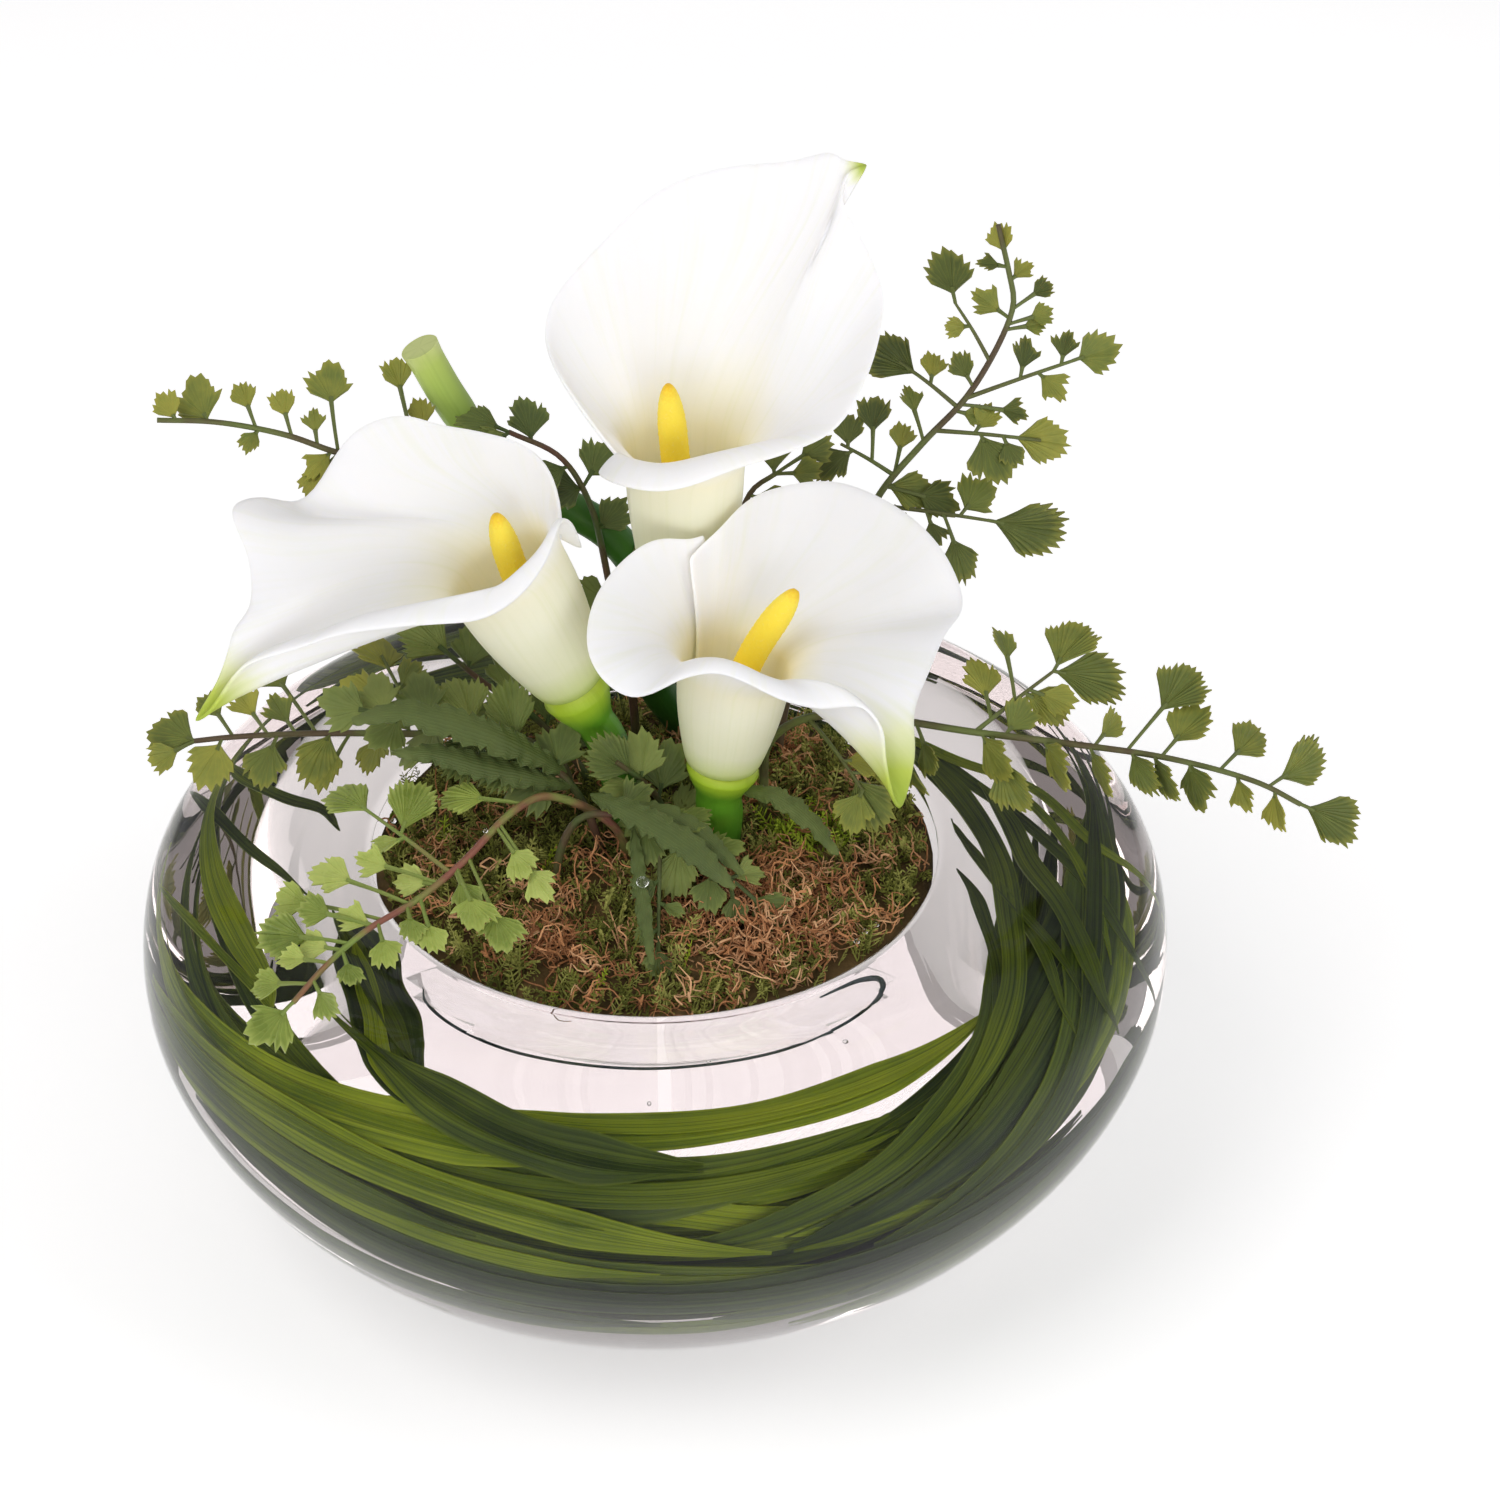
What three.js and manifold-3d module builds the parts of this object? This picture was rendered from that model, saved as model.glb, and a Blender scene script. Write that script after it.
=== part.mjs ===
// Table centrepiece: three calla lilies and fern sprays standing in moss, in a low round
// clear bowl filled with clear resin, with long leaves coiled against the bowl's wall.
// Millimetres. +Z is up, +X to the right, +Y away from the front. The origin is the centre
// of the bowl's foot.
import * as THREE from 'three';
import Module from 'manifold-3d';

const solidKit = await Module();
solidKit.setup();

// ---------- driving dimensions ----------
const GAP = 0.3;                       // clearance between separate pieces
const BOWL = {
  equatorRadius: 127, equatorHeight: 67,
  footRadius: 71.4, wall: 4.1, floor: 8,
  mouthRadius: 69.6, lipRadius: 2, lipHeight: 95.8,
  segments: 36,
};
const GROOVE = 8.3;                    // room between the wall and the resin for the leaves
const FILL_SEGMENTS = 30;
const MOSS = { radius: 68.6, bottom: 71, crown: 101, edge: 93, bump: 1.5, rings: 6, segments: 24 };
const SHEET = 1.0;                     // thickness of a calla's spathe
const OVERLAP_PITCH = 1.6;             // how far a spathe's wrap opens per turn
const SPADIX_RADIUS = 3.6;
const LEAFLET = 0.7;                   // thickness of a fern leaflet
const NOTCH_DEPTH = 0.74;              // a notch's reach from the leaflet's middle, as a share
const RIB_RADIUS = { foot: 1.1, tip: 0.6, stalk: 0.55, leafStalk: 0.5 };
const RIB_STEP = 13;                   // length of a midrib's straight spans
const STALK_STEPS = 3;
const SISTER_OVERLAP = 1.2;            // mm3 that two leaflets may share at their stalks
const CUT_STEM_RADIUS = 4.5;
const HOLE_GROWTH = 0.4;               // how much wider a stem's hole in the moss is, all round
const FERN_HOLE_GROWTH = 1.1;
// Blades: thickness, inset of the layer nearest the glass, distance between layers, span length.
const BLADE = { thick: 0.7, firstLayer: 1.9, layerPitch: 1.6, step: 20 };

const COLOUR = {
  glass: 0xe9f1f1, resin: 0xdfe9e6, moss: 0x6b6a34, spathe: 0xf8f6f1, spadix: 0xf5c02a,
  stem: 0x3f8a24, cutStem: 0x4f9430, fern: 0x5f7038, darkFern: 0x3f5230, brightFern: 0x7f9440,
  blade: 0x3f6426, brightBlade: 0x6f9026, darkBlade: 0x2d4a20,
};

// ---------- small helpers ----------
const V = (x, y, z) => new THREE.Vector3(x, y, z);
const vec = (p) => V(p[0], p[1], p[2]);
const rad = THREE.MathUtils.degToRad;
const mix = THREE.MathUtils.lerp;

function seeded(seed) {
  let state = seed;
  return () => {
    state = (state * 16807) % 2147483647;
    return state / 2147483647;
  };
}

function bezier(a, b, c, d, t) {
  const s = 1 - t;
  return a.map((v, i) => v * s ** 3 + 3 * b[i] * s * s * t + 3 * c[i] * s * t * t + d[i] * t ** 3);
}

// Builds a solid from corner points and faces.
function toSolid(corners, faces) {
  const vertProperties = new Float32Array(corners.flatMap((p) => [p.x, p.y, p.z]));
  const triVerts = new Uint32Array(faces.flat());
  return new solidKit.Manifold(new solidKit.Mesh({ numProp: 3, vertProperties, triVerts }));
}

function toGeometry(solid) {
  const data = solid.getMesh();
  const geometry = new THREE.BufferGeometry();
  geometry.setAttribute('position', new THREE.BufferAttribute(new Float32Array(data.vertProperties), 3));
  geometry.setIndex(new THREE.BufferAttribute(new Uint32Array(data.triVerts), 1));
  geometry.computeVertexNormals();
  return geometry;
}

// Joins rings of equally many points into a tube closed by a fan at each end.
function loft(rings) {
  const count = rings[0].length;
  const corners = rings.flat();
  const faces = [];
  for (let k = 0; k < rings.length - 1; k++) {
    for (let i = 0; i < count; i++) {
      const j = (i + 1) % count;
      const a = k * count + i;
      const b = k * count + j;
      faces.push([a, b, b + count], [a, b + count, a + count]);
    }
  }
  const centre = (ring) => ring.reduce((sum, p) => sum.add(p), V(0, 0, 0)).multiplyScalar(1 / count);
  const first = corners.push(centre(rings[0])) - 1;
  const last = corners.push(centre(rings[rings.length - 1])) - 1;
  const top = (rings.length - 1) * count;
  for (let i = 0; i < count; i++) {
    const j = (i + 1) % count;
    faces.push([first, j, i], [last, top + i, top + j]);
  }
  return toSolid(corners, faces);
}

// Round rod along a smooth path. radiusAt takes the share of the length, 0 to 1.
function rod(points, radiusAt, sides, steps) {
  const curve = new THREE.CatmullRomCurve3(points.map(vec), false, 'centripetal');
  const frames = curve.computeFrenetFrames(steps, false);
  const rings = [];
  for (let k = 0; k <= steps; k++) {
    const centre = curve.getPointAt(k / steps);
    const radius = radiusAt(k / steps);
    const ring = [];
    for (let i = 0; i < sides; i++) {
      const turn = (2 * Math.PI * i) / sides;
      ring.push(centre.clone()
        .addScaledVector(frames.normals[k], radius * Math.cos(turn))
        .addScaledVector(frames.binormals[k], radius * Math.sin(turn)));
    }
    rings.push(ring);
  }
  return loft(rings);
}

const group = new THREE.Group();
group.name = 'calla_centrepiece';
const placed = [];                     // every solid so far, which later leaflets keep clear of

function addNode(name, solid, colour, roughness) {
  const material = new THREE.MeshStandardMaterial({ color: colour, roughness, metalness: 0 });
  const mesh = new THREE.Mesh(toGeometry(solid), material);
  mesh.name = name;
  group.add(mesh);
  placed.push({ name, solid, box: solid.boundingBox() });
}

// ---------- bowl ----------
const innerEquator = BOWL.equatorRadius - BOWL.wall;
const lipCentre = [BOWL.mouthRadius + BOWL.lipRadius, BOWL.lipHeight - BOWL.lipRadius];

// Outer and inner wall, each as a lower and an upper curve. share runs from 0 at the foot
// through 0.5 at the equator to 1 at the lip.
function outerWall(share) {
  const { equatorRadius: r, equatorHeight: z, footRadius, lipHeight } = BOWL;
  return share <= 0.5
    ? bezier([footRadius, 0], [85, 0], [r, 36.5], [r, z], share * 2)
    : bezier([r, z], [r, 101.5], [106, 102.5], [lipCentre[0], lipHeight], share * 2 - 1);
}

function innerWall(share) {
  const { equatorHeight: z, floor } = BOWL;
  const underLip = [lipCentre[0], lipCentre[1] - BOWL.lipRadius];
  return share <= 0.5
    ? bezier([62, floor], [83, floor], [innerEquator, 38.5], [innerEquator, z], share * 2)
    : bezier([innerEquator, z], [innerEquator, 97.5], [104.5, 98.3], underLip, share * 2 - 1);
}

// A point set in from the inner wall by `inset`, in the bowl's section.
function insetWall(share, inset) {
  const a = innerWall(Math.max(share - 0.005, 0));
  const b = innerWall(Math.min(share + 0.005, 1));
  const length = Math.hypot(b[0] - a[0], b[1] - a[1]);
  const here = innerWall(share);
  return [here[0] - inset * (b[1] - a[1]) / length, here[1] + inset * (b[0] - a[0]) / length];
}

function shares(count, from = 0, to = 1) {
  return Array.from({ length: count + 1 }, (_, i) => mix(from, to, i / count));
}

// Turns a profile of [radius, height] points about the bowl's axis.
function turned(profile, segments) {
  return loft(profile.map(([r, z]) => Array.from({ length: segments }, (_, i) => {
    const turn = (2 * Math.PI * i) / segments;
    return V(r * Math.cos(turn), r * Math.sin(turn), z);
  })));
}

function bowlSolid() {
  const outside = shares(10).map(outerWall);
  const lip = [45, -25].map((turn) => [
    lipCentre[0] - BOWL.lipRadius * Math.cos(rad(turn)),
    lipCentre[1] + BOWL.lipRadius * Math.sin(rad(turn)),
  ]);
  const inside = shares(13).map(innerWall).reverse();
  return turned([...outside, ...lip, ...inside], BOWL.segments);
}

addNode('glass_bowl', bowlSolid(), COLOUR.glass, 0.05);

// ---------- clear resin fill, with a dish in its top for the moss ----------
function resinSolid() {
  const floor = BOWL.floor + GAP;
  const side = shares(6, 0.1, 0.93).map((share) => insetWall(share, GROOVE));
  const dishRadius = (MOSS.radius + GAP) / Math.cos(Math.PI / FILL_SEGMENTS);
  const dish = [
    [dishRadius + 1.2, side[side.length - 1][1] - 1],
    [dishRadius, 87],
    [60, MOSS.bottom - GAP],
  ];
  return turned([[58, floor], ...side, ...dish], FILL_SEGMENTS);
}

addNode('clear_fill', resinSolid(), COLOUR.resin, 0.05);

// ---------- calla lilies ----------
// The rim rows go once round the flower from the wrap's hidden inner edge to its outer one:
// [angle round the tube, reach from its axis, height over its foot, and where the sheet
// comes from just before the rim: how far inward, how far up (rolled edge) or down].
const CALLAS = [
  {
    name: 'top', foot: [8, 29, 147.5], mouthCentre: [8, 28, 187], footRadius: 7.6, mouthRadius: 12.8,
    stemRadius: 5, lead: 11,
    stem: [[16, 30, 76], [14.5, 30, 104], [10.5, 29.5, 130]],
    spadix: [[7.5, 28, 172], [6, 26, 192], [4.6, 24.5, 211]],
    rim: [
      [226, 17, 46, 3, -4], [207, 19.5, 51, 5, -8], [190, 26, 62, 6, -12], [172, 32, 70, 8, -15],
      [159, 33.5, 76, 8, -18], [143, 31.5, 82, 6, -21], [124, 29, 89.5, 4, -24], [98, 31.5, 97, 3, -26],
      [75, 37, 100, 3, -26], [54, 43.5, 102, 4, -26], [43, 48, 106, 6, -22], [34, 53, 108, 9, -9],
      [29, 47.5, 99.5, 5, -18], [23, 49, 87.5, 8, -18], [12, 49, 77, 10, -15], [-2, 44.5, 67, 11, -9],
      [-19, 39, 58, 9, 0], [-40, 32.5, 56, 8, 5], [-66, 29, 55, 7, 6], [-98, 29, 50.5, 7, 7],
      [-124, 27.5, 48.5, 6, 7], [-150, 24, 45, 5, 6],
    ],
  },
  {
    name: 'left', foot: [-19.8, 0, 143], mouthCentre: [-34, -2, 174], footRadius: 6.6, mouthRadius: 12.6,
    stemRadius: 5, lead: 9,
    stem: [[-4, 2, 76], [-5, 1.5, 100], [-11.5, 0.5, 126]],
    spadix: [[-28, -1, 162], [-33, 0, 177], [-36.5, 1.5, 190]],
    rim: [
      [8, 15.5, 38, 2, -3], [35, 22, 48, 4, -8], [57, 25, 54, 4, -12], [79, 26, 58.6, 4, -15],
      [98, 30, 62, 4, -18], [112, 34, 68, 4, -22], [130, 40, 68.5, 6, -20], [150, 47, 61, 10, -12],
      [161, 51, 71, 11, -14], [171, 53.5, 75, 12, -12], [181, 52, 67, 12, -8], [191, 55, 61, 14, -4],
      [198, 66, 56, 14, 2], [201, 81, 45, 10, 9], [204, 65, 54, 14, 4], [213, 51, 52, 12, 4],
      [229, 38, 51, 9, 5], [246, 31, 47, 8, 6], [268, 25.5, 43, 7, 7], [295, 21, 42, 6, 7],
      [330, 19.5, 43, 4, 4], [358, 21, 40, 3, 1], [383, 18.5, 36, 2, -2],
    ],
  },
  {
    name: 'front', foot: [17, -7, 124], mouthCentre: [20, -7, 150], footRadius: 7, mouthRadius: 11.6,
    stemRadius: 5.6, lead: 9,
    stem: [[15, -6, 76], [15.3, -6, 98], [16, -6.6, 110]],
    spadix: [[19, -7, 140], [24, -5.5, 154], [34.5, 0, 168.5]],
    rim: [
      [141, 17, 50, 2, -8], [123, 18, 52.5, 3, -12], [106, 19, 56.5, 3, -16], [89, 25.5, 59, 4, -18],
      [76, 36, 57.5, 5, -18], [63, 45, 57, 6, -18], [52, 50, 55, 7, -17], [40, 54, 51.5, 8, -15],
      [27, 55.5, 47.5, 10, -11], [16, 56, 41, 11, -4], [5, 49, 39, 12, -1], [-11, 45, 33, 12, 4],
      [-26, 47, 24, 8, 10], [-35, 50, 9.5, 2, 12], [-40, 45, 25, 6, 11], [-46, 39, 35.5, 8, 8],
      [-56, 33, 36, 8, 7], [-72, 28.5, 37.5, 7, 7], [-89, 25, 40, 7, 6], [-107, 24.5, 41, 6, 6],
      [-122, 29.5, 39.5, 9, 6], [-133, 36.5, 34.5, 12, 7], [-142, 41, 37, 13, 5], [-152, 42, 42, 13, 1],
      [-165, 38, 48, 12, -3], [-180, 32, 52, 10, -7], [-203, 25, 55, 6, -11], [-225, 20.5, 53, 3, -14],
    ],
  },
];

// Directions across the tube's axis, from which the rim's angles are measured.
function tubeFrame(calla) {
  const foot = vec(calla.foot);
  const axis = vec(calla.mouthCentre).sub(foot);
  const length = axis.length();
  axis.normalize();
  const side = V(1, 0, 0).addScaledVector(axis, -axis.x).normalize();
  const depth = new THREE.Vector3().crossVectors(axis, side);
  const outward = (angle) => side.clone().multiplyScalar(Math.cos(rad(angle)))
    .addScaledVector(depth, Math.sin(rad(angle)));
  return { foot, axis, length, outward };
}

// A grid of points: one column per rim row, from the tube's foot up to the rim.
function spatheGrid(calla) {
  const { foot, axis, length, outward } = tubeFrame(calla);
  const start = calla.rim[0][0];
  const flare = (calla.mouthRadius - calla.footRadius) / length;
  return calla.rim.map(([angle, reach, height, inward, rise]) => {
    const out = outward(angle);
    const wrap = OVERLAP_PITCH * Math.abs(angle - start) / 360;
    const at = (r, h) => foot.clone().addScaledVector(out, r).addScaledVector(axis, h);
    const column = [0, 0.5].map((share) => {
      const swell = (calla.mouthRadius - calla.footRadius) * Math.sin(share * Math.PI / 2);
      return at(calla.footRadius + wrap + swell, length * share);
    });
    const mouth = at(calla.mouthRadius + wrap, length);
    const leave = at(calla.mouthRadius + wrap + flare * calla.lead * 0.4, length + calla.lead);
    const arrive = at(reach - inward, height + rise);
    const rim = at(reach, height);
    for (const t of [0, 0.3, 0.57, 0.8, 1]) {
      column.push(V(...bezier(mouth.toArray(), leave.toArray(), arrive.toArray(), rim.toArray(), t)));
    }
    return column;
  });
}

// Thickens a grid of points into a closed sheet.
function sheetSolid(grid, thickness) {
  const columns = grid.length;
  const rows = grid[0].length;
  const at = (u, v) => grid[Math.min(Math.max(u, 0), columns - 1)][Math.min(Math.max(v, 0), rows - 1)];
  const front = grid.flat();
  const back = [];
  for (let u = 0; u < columns; u++) {
    for (let v = 0; v < rows; v++) {
      const along = at(u + 1, v).clone().sub(at(u - 1, v));
      const up = at(u, v + 1).clone().sub(at(u, v - 1));
      const normal = new THREE.Vector3().crossVectors(along, up).normalize();
      back.push(at(u, v).clone().addScaledVector(normal, thickness));
    }
  }
  const corners = [...front, ...back];
  const half = front.length;
  const faces = [];
  const quad = (a, b, c, d) => faces.push([a, b, c], [a, c, d]);
  const id = (u, v) => u * rows + v;
  for (let u = 0; u < columns - 1; u++) {
    for (let v = 0; v < rows - 1; v++) {
      quad(id(u, v), id(u, v + 1), id(u + 1, v + 1), id(u + 1, v));
      quad(half + id(u, v), half + id(u + 1, v), half + id(u + 1, v + 1), half + id(u, v + 1));
    }
    quad(id(u, 0), id(u + 1, 0), half + id(u + 1, 0), half + id(u, 0));
    quad(id(u, rows - 1), half + id(u, rows - 1), half + id(u + 1, rows - 1), id(u + 1, rows - 1));
  }
  for (let v = 0; v < rows - 1; v++) {
    quad(id(0, v), half + id(0, v), half + id(0, v + 1), id(0, v + 1));
    const u = columns - 1;
    quad(id(u, v), id(u, v + 1), half + id(u, v + 1), half + id(u, v));
  }
  return toSolid(corners, faces);
}

function spatheSolid(calla) {
  const grid = spatheGrid(calla);
  // The outside of the sheet lies to the right of the rim's run, so a clockwise run is reversed.
  if (calla.rim[1][0] < calla.rim[0][0]) {
    grid.reverse();
  }
  return sheetSolid(grid, SHEET);
}

function spadixSolid(calla) {
  const { foot, axis } = tubeFrame(calla);
  const start = foot.clone().addScaledVector(axis, 0.2);
  const next = foot.clone().addScaledVector(axis, 8);
  const radiusAt = (share) => {
    const past = Math.max(share - 0.75, 0) / 0.26;
    return SPADIX_RADIUS * Math.sqrt(Math.max(1 - past ** 2, 0.03));
  };
  return rod([start.toArray(), next.toArray(), ...calla.spadix], radiusAt, 7, 9);
}

function stemSolid(calla, grow = 0) {
  const { foot, axis } = tubeFrame(calla);
  const top = foot.clone().addScaledVector(axis, -GAP);
  const under = foot.clone().addScaledVector(axis, -12);
  const collar = calla.footRadius + SHEET + OVERLAP_PITCH / 2;
  const radiusAt = (share) => {
    if (share > 0.95) {
      return collar + grow;
    }
    const swell = Math.max(share - 0.8, 0) / 0.15;
    return mix(calla.stemRadius, collar - 0.8, swell) + grow;
  };
  const path = [...calla.stem, under.toArray(), top.toArray()];
  return rod(path, radiusAt, 10, 11);
}

const CUT_STEM = [
  [-55, 46, 209.5], [-48, 46, 194.5], [-39, 46, 180], [-22, 46, 165], [-9.5, 46, 155],
  [-2, 45, 142], [-3, 43, 127], [1, 42.5, 112], [9, 43, 98], [13, 44, 76],
];

function cutStemSolid(grow) {
  return rod(CUT_STEM, () => CUT_STEM_RADIUS + grow, 9, 16);
}

// ---------- fern sprays ----------
// Each spray is a midrib with leaflets: [distance along it, distance to its side, width].
// Side stalks start `from` along the midrib and end at [along, aside]; their leaflets are
// measured along and across the stalk in the same way.
const FERNS = [
  {
    name: 'right_top', colour: COLOUR.fern, facing: [0.1, -0.75, 0.66], seed: 11,
    rib: [[30, 32, 84], [34, 34, 116], [46, 42, 141], [56, 48, 164], [67, 52, 177], [78, 56, 188],
      [87, 60, 204], [89, 62, 211], [88, 64, 217], [85, 66, 230]],
    root: 32,
    leaflets: [[51, -6, 7], [62, -6, 10], [86, -5, 6], [94, 6, 7], [111, -6, 6], [114, 6, 7],
      [121, -5, 6], [131, 0, 6]],
    stalks: [
      { from: 62, to: [60, 15], leaflets: [[12, -7, 8], [18, 1, 9]] },
      { from: 85, to: [83, 18], leaflets: [[20, 0, 12]] },
      { from: 99, to: [110, 14], leaflets: [[22, -1, 10]] },
      { from: 88, to: [110, -23], leaflets: [[20, -5, 7], [35, 0, 9]] },
      { from: 77, to: [90, -21], leaflets: [[14, -5, 10], [26, 0, 11]] },
      { from: 53, to: [71, -27], leaflets: [[22, -9, 9], [25, 6, 9], [38, 0, 14]] },
    ],
  },
  {
    name: 'right', colour: COLOUR.fern, facing: [0.15, -0.6, 0.78], seed: 23,
    rib: [[26, 8, 84], [27, 6, 106], [28, 4, 121], [36, 0, 131], [50, -6, 136], [77, -12, 135],
      [100, -16, 134], [124, -20, 132], [145, -22, 126], [155, -24, 121]],
    root: 22,
    leaflets: [[61, -9, 8], [81, -13, 11], [93, -6, 10], [105, 6, 7], [108, -6, 9], [119, 17, 12],
      [123, 9, 9], [125, -6, 9], [138, 10, 10], [148, -5, 8], [150, 9, 12], [162, 0, 12]],
    stalks: [
      { from: 73, to: [90, 18], leaflets: [[10, 9, 9], [17, -5, 9], [30, -6, 12], [33, 4, 13]] },
      { from: 31, to: [49, -19], leaflets: [[18, -6, 9], [29, 0, 11]] },
    ],
  },
  {
    name: 'left', colour: COLOUR.fern, facing: [-0.1, -0.6, 0.78], seed: 31,
    rib: [[-20, 12, 84], [-23, 10, 113], [-37, 8, 122], [-54, 6, 124], [-82, 4, 126],
      [-102, 0, 128], [-111, 0, 127]],
    root: 29,
    leaflets: [[49, 6, 9], [61, 7, 10], [71, -6, 7], [72, -17, 9], [76, 7, 9], [80, -8, 7],
      [88, -9, 7], [89, 6, 9], [99, 0, 11]],
    stalks: [{ from: 37, to: [47, -20], leaflets: [[17, 9, 8], [25, 0, 10]] }],
  },
  {
    name: 'top_left', colour: COLOUR.fern, facing: [-0.1, -0.75, 0.66], seed: 41,
    rib: [[-16, 32, 84], [-19, 31, 115], [-22, 30, 147], [-44, 34, 173], [-60, 34, 182],
      [-76, 32, 189], [-87, 30, 195], [-103, 28, 200], [-117, 26, 202]],
    root: 63,
    leaflets: [[53, -15, 6], [60, -22, 7], [73, 7, 7], [78, -15, 9], [86, -7, 6], [95, -7, 6],
      [105, -5, 9], [114, 0, 6]],
    stalks: [],
  },
  {
    name: 'front_left', colour: COLOUR.brightFern, facing: [-0.2, -0.5, 0.84], seed: 53,
    rib: [[-6, -13, 84], [-9, -13, 108], [-25, -18, 122], [-33, -26, 124], [-46, -44, 121],
      [-56, -55, 119], [-68, -66, 118], [-77, -74, 114], [-84, -82, 110]],
    root: 26,
    leaflets: [[36, -12, 9], [46, 11, 8], [60, 7, 7], [62, 19, 9], [70, -12, 8], [74, 9, 7],
      [81, -17, 9], [86, 8, 7], [90, -8, 8], [98, -13, 10], [104, 7, 8], [118, 0, 10]],
    stalks: [{ from: 58, to: [56, -27], leaflets: [[20, -7, 12], [34, 0, 11]] }],
  },
  {
    name: 'centre_left', colour: COLOUR.darkFern, facing: [-0.1, -0.5, 0.84], seed: 61,
    rib: [[-12, -11, 84], [-14, -10, 104], [-20, -9, 119], [-34, -8, 132], [-51, -8, 137], [-65, -8, 140]],
    root: 20,
    leaflets: [[24, -7, 12], [26, 8, 12], [38, 8, 13], [39, -8, 13], [52, -8, 13], [53, 8, 13],
      [65, -6, 11], [77, 0, 11]],
    stalks: [],
  },
  {
    name: 'centre_front', colour: COLOUR.darkFern, facing: [0.05, -0.5, 0.84], seed: 71,
    rib: [[-23, -21, 84], [-23, -20, 106], [-18, -19, 116], [-10, -20, 118], [1, -23, 116],
      [11, -28, 111], [18, -32, 107]],
    root: 37,
    leaflets: [[10, 7, 10], [17, -7, 10], [24, 7, 11], [30, -7, 11], [38, 6, 9], [50, 0, 10]],
    stalks: [{ from: 17, to: [36, -26], leaflets: [[20, -4, 7], [34, 0, 7]] }],
  },
  {
    name: 'centre_back', colour: COLOUR.darkFern, facing: [-0.1, -0.6, 0.78], seed: 83,
    rib: [[-14, 16, 84], [-16, 16, 102], [-28, 18, 119], [-42, 20, 130], [-52, 22, 139]],
    root: 18,
    leaflets: [[12, -8, 11], [15, 8, 11], [28, -8, 12], [32, 8, 12], [56, 0, 12]],
    stalks: [],
  },
  {
    name: 'centre_right', colour: COLOUR.darkFern, facing: [0, -0.5, 0.84], seed: 97,
    rib: [[4, -4, 84], [4, -5, 100], [1, -7, 113], [-3, -9, 120], [-9, -11, 127]],
    root: 14,
    leaflets: [[11, 7, 11], [19, -8, 11], [24, 7, 11], [34, 0, 12]],
    stalks: [],
  },
  {
    name: 'back_left', colour: COLOUR.darkFern, facing: [0, -0.75, 0.66], seed: 103,
    rib: [[-4, 35, 84], [-5, 36, 113], [-10, 38, 144], [-15, 40, 169], [-22, 40, 182], [-34, 40, 189]],
    root: 29,
    leaflets: [[30, 6, 9], [44, -7, 9], [63, 6, 10], [66, -7, 9], [80, -6, 9], [92, 0, 10]],
    stalks: [],
  },
  {
    name: 'back_mid', colour: COLOUR.fern, facing: [0, -0.75, 0.66], seed: 113,
    rib: [[20, 39, 84], [20, 44, 125], [21, 48, 152], [25, 50, 165], [31, 50, 170]],
    root: 8,
    leaflets: [[40, 7, 9], [62, -7, 9], [76, 6, 8], [94, 0, 9]],
    stalks: [],
  },
];

// Outline of a toothed fan leaflet with its own short stalk; x runs away from the rib.
function leafletOutline(stalk, width) {
  const teeth = width < 8 ? 3 : width < 12 ? 4 : 5;
  const half = width / 2;
  const span = 105;
  const points = [[0, -RIB_RADIUS.leafStalk], [stalk, -RIB_RADIUS.leafStalk]];
  for (let k = 0; k < teeth; k++) {
    const turn = rad(mix(-span, span, k / (teeth - 1)));
    points.push([stalk + half + half * Math.cos(turn), half * Math.sin(turn)]);
    if (k < teeth - 1) {
      const notch = rad(mix(-span, span, (k + 0.55) / (teeth - 1)));
      const depth = half * NOTCH_DEPTH;
      points.push([stalk + half + depth * Math.cos(notch), depth * Math.sin(notch)]);
    }
  }
  points.push([stalk, RIB_RADIUS.leafStalk], [0, RIB_RADIUS.leafStalk]);
  return points;
}

// Flat plate from an outline laid out along `ahead` and `aside` from `origin`. The first and
// last two points are its stalk, which is faced apart from the fan so that few edges meet the rib.
function plateSolid(outline, origin, ahead, aside, thickness) {
  const normal = new THREE.Vector3().crossVectors(ahead, aside).normalize();
  const fan = outline.slice(1, -1).map((p) => new THREE.Vector2(p[0], p[1]));
  const triangles = THREE.ShapeUtils.triangulateShape(fan, []).map((face) => face.map((i) => i + 1));
  const place = (p, lift) => origin.clone().addScaledVector(ahead, p[0])
    .addScaledVector(aside, p[1]).addScaledVector(normal, lift);
  const count = outline.length;
  triangles.push([0, 1, count - 2], [0, count - 2, count - 1]);
  const corners = [
    ...outline.map((p) => place(p, thickness / 2)),
    ...outline.map((p) => place(p, -thickness / 2)),
  ];
  const faces = [];
  for (const [a, b, c] of triangles) {
    faces.push([a, b, c], [count + a, count + c, count + b]);
  }
  for (let i = 0; i < count; i++) {
    const j = (i + 1) % count;
    faces.push([i, count + i, count + j], [i, count + j, j]);
  }
  return toSolid(corners, faces);
}

function boxesMeet(a, b) {
  return [0, 1, 2].every((k) => a.min[k] < b.max[k] && b.min[k] < a.max[k]);
}

function sharedVolume(solid, others) {
  const box = solid.boundingBox();
  return others.filter((other) => boxesMeet(box, other.box))
    .reduce((sum, other) => sum + solid.intersect(other.solid).volume(), 0);
}

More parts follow.
